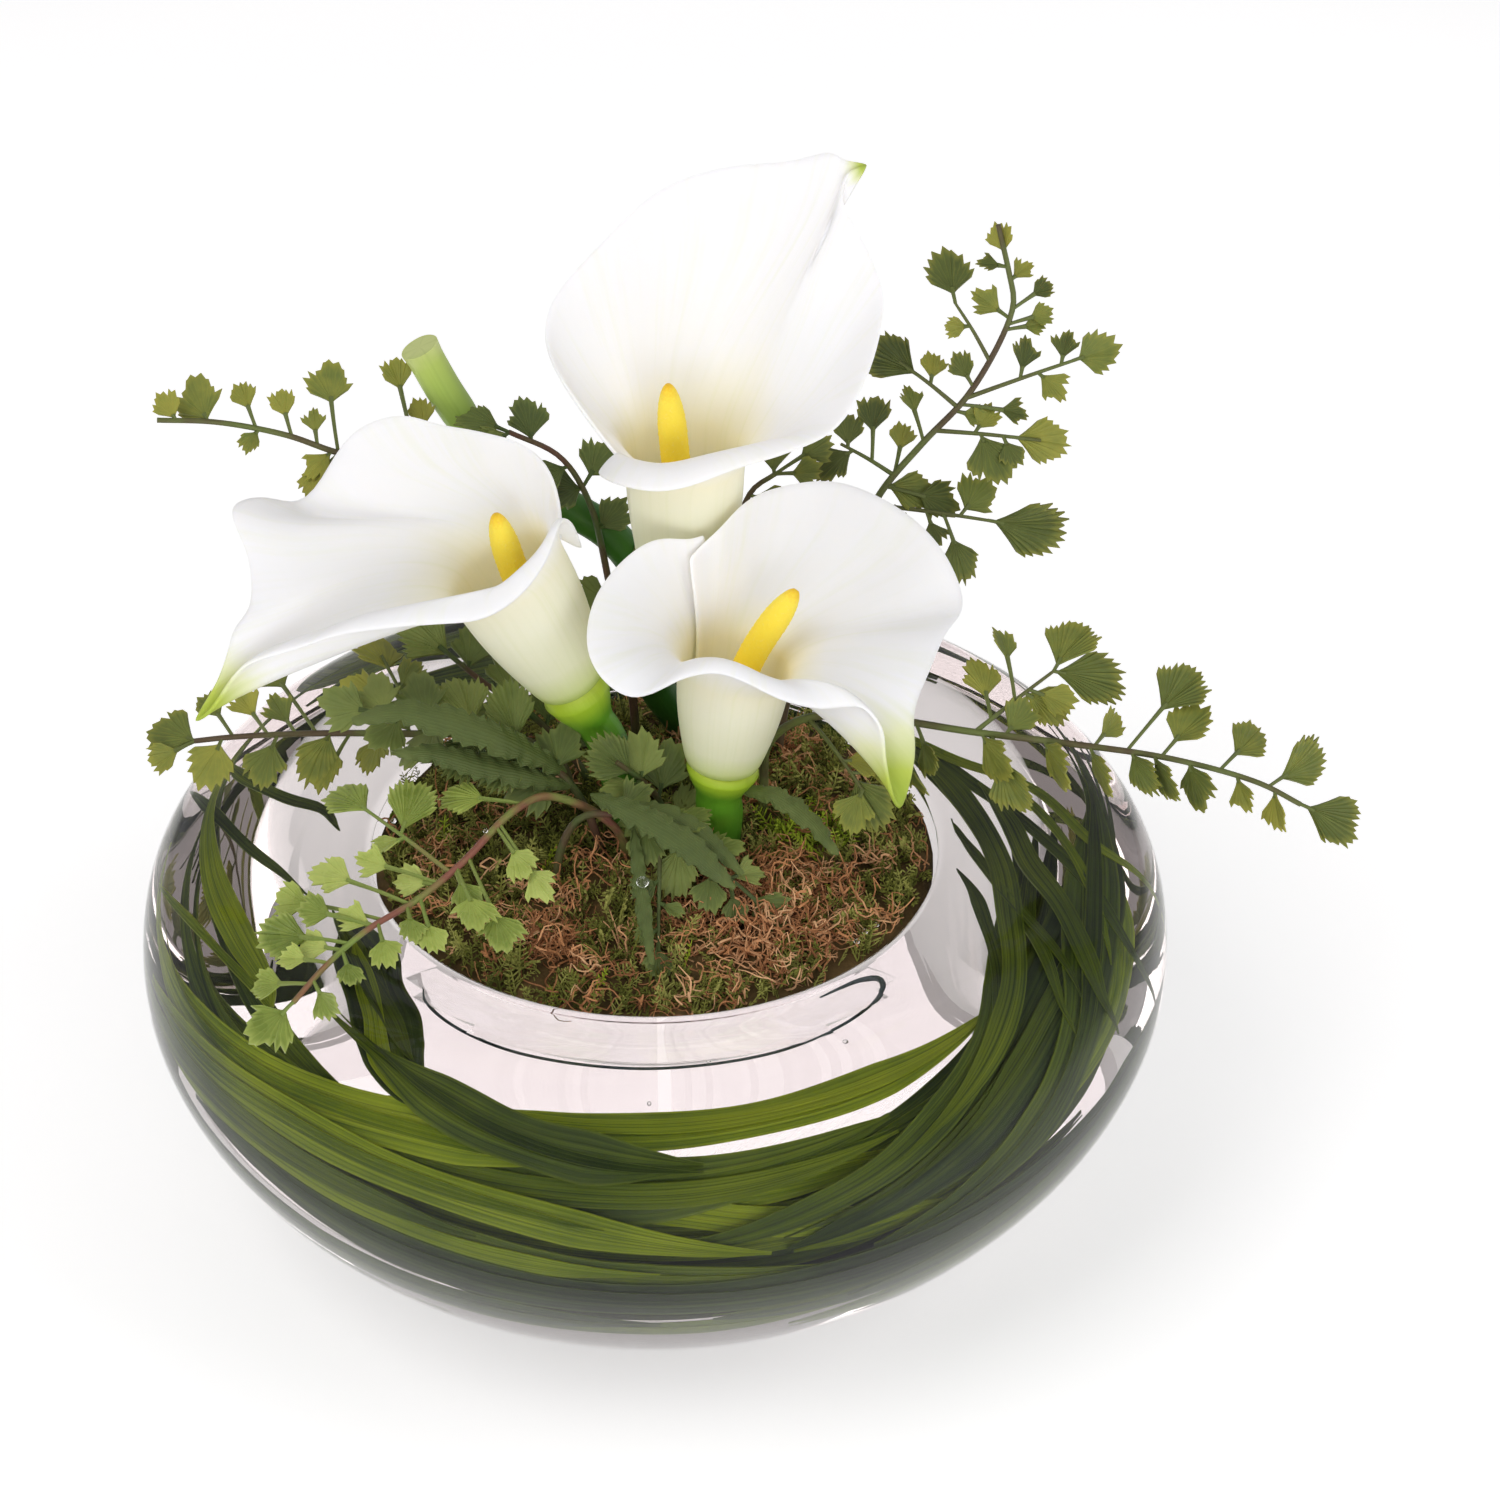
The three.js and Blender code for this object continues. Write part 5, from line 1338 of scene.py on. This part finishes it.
# The shares of a leaf's length, at its start and at its end, that are drawn out thin.
SLENDER = {
    "middle_band": (0.40, 0), "left_band": (0.36, 0), "left_rise": (0.45, 0),
    "crossing": (0.42, 0), "thin_left": (0.6, 0), "back_left": (0.3, 0.45),
    "back_right": (0.5, 0), "right_outer": (0, 0.36), "broad_right": (0, 0.36),
}


SHARE_SCALE = 100            # shares are drawn out by this, to weigh with degrees
WALL_SHARES = (0.02, 0.985)  # the part of the wall that leaves may lie on
RIDER_STEP = 0.45            # how much deeper each narrow leaf on a broad one lies
TIP_WIDTH = 0.22             # how much of its width a leaf drawn out thin has left


def strap(name, width, inset, path, chance, tint, drift=(0.0, 0.0), slender=(0, 0)):
    """One long leaf on the wall, folded a little along its middle and drawn out to points.
    Drift carries it across from the path, in mm, from its start to its end."""
    line = Course([(azimuth, share * SHARE_SCALE, 0) for azimuth, share in path])
    along = int(abs(path[-1][0] - path[0][0]) * 0.7) + 12
    fold = chance.uniform(0.3, 1.1)
    sway = chance.uniform(0, RANDOM_TURN)
    lean = chance.uniform(-0.035, 0.035) * width

    def on_wall(azimuth, share, deep):
        r, z = inset_wall(clamp(share, *WALL_SHARES), deep)
        return round_at(r, math.radians(azimuth), z)

    def place(u, v):
        distance = v * line.length
        here = line.at(distance)
        last = line.at(max(distance - 1.0, 0))
        following = line.at(min(distance + 1.0, line.length))
        half = width / 2 * clamp(math.sin(math.pi * v) * 1.5, 0.05, 1.0) ** 0.8
        half *= 1 + 0.06 * math.sin(v * 19 + sway)
        for thin, way in zip(slender, (v, 1 - v)):
            half *= mix(TIP_WIDTH, 1.0, smooth_step(thin * 0.4, thin, way)) if thin else 1.0
        share = here.y / SHARE_SCALE
        up = on_wall(here.x, share + 0.01, inset) - on_wall(here.x, share - 0.01, inset)
        share_step = 0.02 / up.length
        ahead = on_wall(following.x, following.y / SHARE_SCALE, inset)
        heading = (ahead - on_wall(last.x, last.y / SHARE_SCALE, inset)).normalized()
        turn = math.radians(here.x)
        round_wall = Vector((-math.sin(turn), math.cos(turn), 0))
        slope = math.atan2(heading.dot(up.normalized()), heading.dot(round_wall))
        side = 2 * u - 1
        aside = side * half + mix(drift[0], drift[1], v)
        radius = inset_wall(clamp(share, *WALL_SHARES), inset)[0]
        azimuth = here.x - math.degrees(aside * math.sin(slope) / radius)
        deep = inset + fold * (1 - abs(side)) * half / width + lean * side * math.sin(v * 5 + sway)
        return on_wall(azimuth, share + aside * math.cos(slope) * share_step, deep)

    piece = laid_grid(name, 6, along, place)
    mark(piece, "tint", tint)
    thickened(piece, LEAF_SHEET * MM)
    return piece


def blade_piece(name, width, inset, path, chance, slender=(0, 0)):
    """A long leaf with narrower ones lying along its face."""
    pieces = [strap(name, width, inset, path, chance, chance.uniform(0.2, 0.7), slender=slender)]
    riders = 2 if width >= 12 else 1 if width >= 8 else 0
    for number in range(riders):
        room = width * 0.30
        first = chance.uniform(-room, room)
        drift = (first, -first * chance.uniform(0.3, 1.0))
        thin = width * chance.uniform(0.22, 0.42)
        tint = chance.choice((chance.uniform(0.0, 0.2), chance.uniform(0.7, 1.0)))
        start, end = chance.choice(((0, 0), (1, 0), (0, 1)))
        part = path[start:len(path) - end]
        depth = max(inset - 0.55 - RIDER_STEP * number, 0.9)
        pieces.append(strap("rider", thin, depth, part, chance, tint, drift, slender))
    return joined(name, pieces)


def make_blades(finishes):
    chance = random.Random(5)
    slots = {"middle": "long_leaf", "bright": "bright_long_leaf", "dark": "dark_long_leaf"}
    for name, kind, width, inset, path in BLADES:
        slender = SLENDER.get(name, (0, 0))
        piece = blade_piece(f"long_leaf_{name}", width, inset, path, chance, slender)
        dress(piece, finishes[kind], 60, slots[kind], f"leaf_{name}")
    deeper = {kind: [] for kind in slots}
    for number, (kind, width, inset, path) in enumerate(DEEPER):
        deeper[kind].append(blade_piece(f"deep_leaf_{number}", width, inset, path, chance))
    for kind, pieces in deeper.items():
        dress(joined(f"deep_leaves_{kind}", pieces), finishes[kind], 60, slots[kind])


# ---------- moss ----------
# Lumps: height, fineness, and the layer of the noise they are read from.
MOSS_LUMPS = [(3.4, 0.06, 0), (2.6, 0.15, 9)]
# Brown patches: middle, half widths, and how brown they are.
BROWN_PATCHES = [((26, -34), (24, 22), 0.95), ((-27, -44), (14, 12), 0.75)]
LIME_PATCH = (38, -4, 9)     # middle and radius
STRAY_FIBRE = 13             # one place in so many has a fibre, however green it is
SPRIGS_TRIED = 2900          # places tried for a sprig or fibre
SPRIGS_TOGETHER = 1100       # how many are joined in one piece
SPRIG_LENGTH = 10            # length of a sprig pattern, and of the room a fibre needs


def moss_height(x, y):
    share = math.hypot(x, y) / MOSS["radius"]
    lumps = sum(high * noise.noise(Vector((x, y, layer)) * fineness)
                for high, fineness, layer in MOSS_LUMPS)
    return mix(MOSS["crown"], MOSS["edge"], share ** 2) + lumps * (1 - 0.6 * share)


def make_moss_bed(finish):
    """The mound under the sprigs: dished below, lumpy on top, closed round its edge."""
    rings, turns, under_rings = 26, 72, 7

    def place(u, v):
        row = round(v * (rings + under_rings + 1))
        turn = FULL_TURN * u
        if row <= under_rings:
            under = row / under_rings
            z = mix(MOSS["bottom"], MOSS["underside"] + 4.3, under ** 2.2)
            return round_at(MOSS["radius"] * under, turn, z)
        share = 1 - (row - under_rings - 1) / rings
        r = MOSS["radius"] * share
        x, y = r * math.cos(turn), r * math.sin(turn)
        rough = 0.7 * noise.noise(Vector((x, y, 3)) * 0.45)
        return Vector((x, y, moss_height(x, y) + rough - 1.6))

    piece = laid_grid("moss_bed", turns, rings + under_rings + 1, place, seam=True)
    mark(piece, "tint", lambda point: 0.5 + 0.5 * noise.noise(point * 0.07))
    dress(piece, finish, 80, "moss", "moss_mound")


def sprig_pattern(name, pairs, seed):
    """A feather of moss about 10 mm long: a curved stem with pairs of thin side shoots."""
    chance = random.Random(seed)
    bow = chance.uniform(2.0, 5.5)
    middle = (bow * 0.35, chance.uniform(-0.8, 0.8), SPRIG_LENGTH / 2)
    course = Course([(0, 0, 0), middle, (bow, 0, SPRIG_LENGTH)])
    parts = [rod(name, course, lambda share, turn: mix(0.34, 0.14, share), 3, 4)]
    for k in range(pairs):
        share = 0.15 + 0.80 * k / pairs
        at = course.at(share * course.length)
        size = mix(4.0, 1.6, share) * chance.uniform(0.75, 1.2)
        for way in (-1, 1):
            deselect()
            bpy.ops.mesh.primitive_uv_sphere_add(segments=4, ring_count=2, radius=1.0)
            leaf = bpy.context.object
            heading = Vector((chance.uniform(0.1, 0.7), way, chance.uniform(0.3, 0.9)))
            heading.normalize()
            sideways = heading.cross(Vector((0, 0, 1))).normalized()
            reach = heading * size * 0.5
            shape = Matrix((reach, sideways * 0.46, heading.cross(sideways) * 0.26))
            laid = Matrix.Translation(at + reach) @ shape.transposed().to_4x4()
            leaf.data.transform(Matrix.Scale(MM, 4) @ laid)
            parts.append(leaf)
    return joined(name, parts)


def fibre_pattern(name, seed):
    """Three tangled brown strands, each a curl of about 12 mm."""
    chance = random.Random(seed)
    strands = []
    for _ in range(3):
        points = [Vector((0, chance.uniform(-2, 2), chance.uniform(-1, 1)))]
        for _ in range(5):
            along, aside = chance.uniform(0.4, 3.0), chance.uniform(-2.8, 2.8)
            points.append(points[-1] + Vector((along, aside, chance.uniform(-1.6, 1.8))))
        thick = chance.uniform(0.18, 0.32)
        strands.append(rod(name, points, lambda share, turn: mix(thick, 0.12, share), 3, 10))
    return joined(name, strands)


def moss_is_brown(x, y):
    """How brown the moss is at a place: in its patches, and a little here and there."""
    patches = sum(brown * math.exp(-((x - right) / wide) ** 2 - ((y - back) / deep) ** 2)
                  for (right, back), (wide, deep), brown in BROWN_PATCHES)
    return clamp(patches + 0.5 * noise.noise(Vector((x, y, 5)) * 0.09))


def scatter_moss(finishes):
    """Stands sprigs and fibres all over the mound, leaving out those that pass its edge."""
    chance = random.Random(77)
    sprigs = [sprig_pattern(f"sprig_{k}", 5, 200 + k) for k in range(5)]
    fibres = [fibre_pattern(f"fibre_{k}", 300 + k) for k in range(6)]
    kept = {"green": [], "brown": [], "lime": []}
    for number in range(SPRIGS_TRIED):
        turn = chance.uniform(0, FULL_TURN)
        r = MOSS["radius"] * math.sqrt(chance.uniform(0.0, 0.97))
        x, y = r * math.cos(turn), r * math.sin(turn)
        brown = moss_is_brown(x, y)
        z = moss_height(x, y) - 1.4
        outward = Vector((x, y, 0)) / MOSS["radius"]
        any_way = Vector((chance.uniform(-1, 1), chance.uniform(-1, 1), chance.uniform(0.35, 1.1)))
        lean = (any_way - outward * 0.7).normalized()
        turned = Matrix.Rotation(chance.uniform(0, RANDOM_TURN), 3, lean)
        around = turned @ lean.orthogonal().normalized()
        if chance.random() < brown * 1.05 or number % STRAY_FIBRE == 0:
            pattern = chance.choice(fibres)
            flat_way = Vector((around.x, around.y, around.z * 0.4)).normalized()
            middle = Vector((x, y, z + chance.uniform(0.8, 3.6)))
            start = middle - flat_way * (SPRIG_LENGTH / 2)
            end = start + flat_way * SPRIG_LENGTH
            if max(math.hypot(start.x, start.y), end.xy.length) > MOSS["radius"] - 1:
                continue
            matrix = turned_to(start, flat_way, lean, chance.uniform(0.7, 1.3) / MM)
            kind = "brown"
        else:
            pattern = chance.choice(sprigs)
            size = chance.uniform(0.45, 0.95)
            if (Vector((x, y, 0)) + lean * SPRIG_LENGTH * size).xy.length > MOSS["radius"] + 0.5:
                continue
            matrix = turned_to(Vector((x, y, z)), around, lean.cross(around), size / MM)
            right, back, radius = LIME_PATCH
            lime = math.hypot(x - right, y - back) < radius or chance.random() < 0.02
            kind = "lime" if lime else "green"
        kept[kind].append(copied(pattern, matrix, chance.random()))
    for pattern in sprigs + fibres:
        bpy.data.objects.remove(pattern)
    for kind, pieces in kept.items():
        for number, first in enumerate(range(0, len(pieces), SPRIGS_TOGETHER), 1):
            piece = joined(f"moss_{kind}_{number}", pieces[first:first + SPRIGS_TOGETHER])
            wear(piece, finishes[kind])
            settle(piece, "moss")


# ---------- bubbles and drops ----------
# Place and radius, in mm. Bubbles lie in the clear body, drops on the plants and the moss.
BUBBLES = [
    ((-58, -88, 30), 1.5), ((12, -88, 90.2), 0.6), ((-2, -96, 84), 0.5), ((44, -80, 90), 0.7),
    ((-30, -100, 70), 0.45), ((60, -84, 62), 0.5),
]
DROPS = [
    ((-3.0, -39, 111.6), 1.5), ((50, -41, 97.5), 0.8), ((53, -38, 97.2), 0.6),
    ((48, -44, 96.8), 0.7), ((-62, -30, 124), 0.7), ((-40, -36, 125), 0.6),
]


BEAD_HEIGHT = 0.86           # height of a bubble or drop, as a share of its width


def make_beads(name, beads, finish):
    """Round beads, a little flattened, joined in one piece."""
    pieces = []
    for (x, y, z), radius in beads:
        deselect()
        bpy.ops.mesh.primitive_uv_sphere_add(segments=20, ring_count=12, radius=radius * MM)
        bead = bpy.context.object
        for vertex in bead.data.vertices:
            vertex.co.z *= BEAD_HEIGHT
        bead.data.transform(Matrix.Translation(Vector((x, y, z)) * MM))
        pieces.append(bead)
    dress(joined(name, pieces), finish, 80, "clear_resin")


# ---------- studio ----------
def make_studio():
    deselect()
    bpy.ops.mesh.primitive_plane_add(size=FLOOR_SIZE)
    floor = bpy.context.object
    floor.name = "studio_floor"
    wear(floor, floor_finish())

    for name, (place, aim, size, watts, tint) in LAMPS.items():
        data = bpy.data.lights.new(name, "AREA")
        data.shape = "RECTANGLE"
        data.size, data.size_y = size
        data.energy = watts
        data.color = tint
        lamp = bpy.data.objects.new(name, data)
        bpy.context.scene.collection.objects.link(lamp)
        lamp.location = place
        lamp.visible_glossy = False
        lamp.rotation_mode = "QUATERNION"
        lamp.rotation_quaternion = (Vector(aim) - Vector(place)).to_track_quat("-Z", "Y")
    light_surroundings()


def light_surroundings():
    """Even light from all round, palest at the horizon."""
    world = bpy.data.worlds.new("studio")
    bpy.context.scene.world = world
    world.use_nodes = True
    tree = world.node_tree
    back = tree.nodes["Background"]
    place = tree.nodes.new("ShaderNodeTexCoord")
    split = tree.nodes.new("ShaderNodeSeparateXYZ")
    ramp = tree.nodes.new("ShaderNodeValToRGB")
    tree.links.new(place.outputs["Generated"], split.inputs[0])
    tree.links.new(split.outputs[2], ramp.inputs[0])
    tree.links.new(ramp.outputs[0], back.inputs["Color"])
    horizon, overhead = ramp.color_ramp.elements
    horizon.position, horizon.color = 0.0, (*HORIZON_LIGHT, 1.0)
    overhead.position, overhead.color = 0.5, (*OVERHEAD_LIGHT, 1.0)
    back.inputs["Strength"].default_value = SURROUND_STRENGTH


def make_camera():
    data = bpy.data.cameras.new("camera")
    data.lens = CAMERA_LENS
    data.sensor_width = CAMERA_SENSOR
    data.clip_start, data.clip_end = 0.05, 30.0
    camera = bpy.data.objects.new("camera", data)
    bpy.context.scene.collection.objects.link(camera)
    camera.location = CAMERA_PLACE
    camera.rotation_euler = (math.radians(90 - CAMERA_PITCH), 0.0, math.radians(-CAMERA_YAW))
    bpy.context.scene.camera = camera


def set_picture():
    scene = bpy.context.scene
    scene.view_settings.view_transform = "Standard"
    scene.view_settings.look = "None"
    cycles = scene.cycles
    cycles.max_bounces = 32
    cycles.transmission_bounces = 32
    cycles.glossy_bounces = 8
    cycles.diffuse_bounces = 6
    cycles.transparent_max_bounces = 16
    cycles.sample_clamp_indirect = 6.0
    cycles.blur_glossy = 0.6
    cycles.use_denoising = True


# ---------- assembly ----------
make_camera()
make_studio()
set_picture()
make_bowl()
make_filling()
make_water_line()

spathe_white = spathe_finish()
spadix_yellow = spadix_finish()
stem_green = stem_finish("calla_stem_green", [
    (0.0, (0.03, 0.12, 0.01)), (0.55, (0.07, 0.24, 0.015)), (0.84, (0.13, 0.36, 0.02)),
    (0.93, (0.36, 0.55, 0.03)), (0.97, (0.42, 0.56, 0.04)), (1.0, (0.55, 0.66, 0.10)),
])
# The cut stem darkens from its cut end down to the moss: its own green, deepened with painted
# shade where it passes under the flowers.
cut_green = stem_finish("cut_stem_green", [
    (0.0, (0.62, 0.68, 0.26)), (0.03, (0.46, 0.58, 0.13)), (0.20, (0.22, 0.40, 0.05)),
    (0.38, (0.05, 0.17, 0.02)), (1.0, (0.02, 0.09, 0.012)),
])
for calla in CALLAS:
    make_spathe(calla, spathe_white)
    make_spadix(calla, spadix_yellow)
    make_stem(calla, stem_green)
make_cut_stem(cut_green)

# Leaflet patterns for small, middling and large leaflets: number of teeth, seed.
PATTERNS = [
    [leaflet_pattern(teeth, seed) for teeth, seed in size]
    for size in (
        ((7, 1), (7, 2), (8, 9), (8, 12)),
        ((9, 3), (10, 4), (10, 5), (11, 10)),
        ((13, 6), (13, 7), (14, 8)),
    )
]
FROND = {
    "olive": frond_finish("fern_olive", (0.065, 0.085, 0.024), (0.145, 0.175, 0.038),
                          (0.36, 0.34, 0.055)),
    "dark": frond_finish("fern_dark", (0.065, 0.090, 0.026), (0.14, 0.18, 0.045),
                         (0.26, 0.30, 0.08)),
    "bright": frond_finish("fern_bright", (0.13, 0.18, 0.030), (0.29, 0.36, 0.07),
                           (0.50, 0.56, 0.16), dullness=0.16),
}
TWIG = {
    "olive": rib_finish("twig_olive", (0.13, 0.16, 0.045), (0.10, 0.07, 0.04)),
    "dark": rib_finish("twig_dark", (0.07, 0.11, 0.03), (0.12, 0.06, 0.04)),
    "bright": rib_finish("twig_bright", (0.20, 0.27, 0.06), (0.26, 0.10, 0.07)),
}
for fern in FERNS:
    make_fern(fern, PATTERNS, FROND[fern["kind"]], TWIG[fern["kind"]])
make_toothed(frond_finish("fern_toothed", (0.045, 0.066, 0.022), (0.098, 0.13, 0.036),
                          (0.20, 0.24, 0.07)))
for pattern in sum(PATTERNS, []):
    bpy.data.objects.remove(pattern)

make_blades({
    "middle": blade_finish("long_leaf_green", (0.016, 0.038, 0.005), (0.094, 0.15, 0.012),
                           (0.27, 0.36, 0.020)),
    "bright": blade_finish("long_leaf_bright", (0.06, 0.12, 0.006), (0.29, 0.40, 0.014),
                           (0.56, 0.66, 0.035)),
    # The dark finish is partly the leaves' own deep green and partly painted shade for the dark
    # gaps between strands.
    "dark": blade_finish("long_leaf_dark_and_painted_shade", (0.009, 0.022, 0.005), (0.048, 0.086, 0.011),
                         (0.15, 0.21, 0.018)),
})

make_moss_bed(moss_finish("moss_bed_dark", (0.03, 0.022, 0.008), (0.12, 0.075, 0.028),
                          (0.26, 0.16, 0.06)))
scatter_moss({
    "green": moss_finish("moss_green", (0.075, 0.085, 0.015), (0.225, 0.235, 0.045),
                         (0.46, 0.45, 0.13)),
    "brown": moss_finish("moss_brown", (0.20, 0.080, 0.034), (0.60, 0.275, 0.12),
                         (0.82, 0.52, 0.29)),
    "lime": moss_finish("moss_lime", (0.14, 0.20, 0.01), (0.34, 0.44, 0.03), (0.52, 0.62, 0.08)),
})

make_beads("bubbles", BUBBLES, clear_finish("bubble_clear", 0.72, (0.99, 0.99, 0.99), 0.002))
make_beads("water_drops", DROPS, clear_finish("water_drop_clear", 1.33, (0.99, 0.99, 0.99), 0.002))
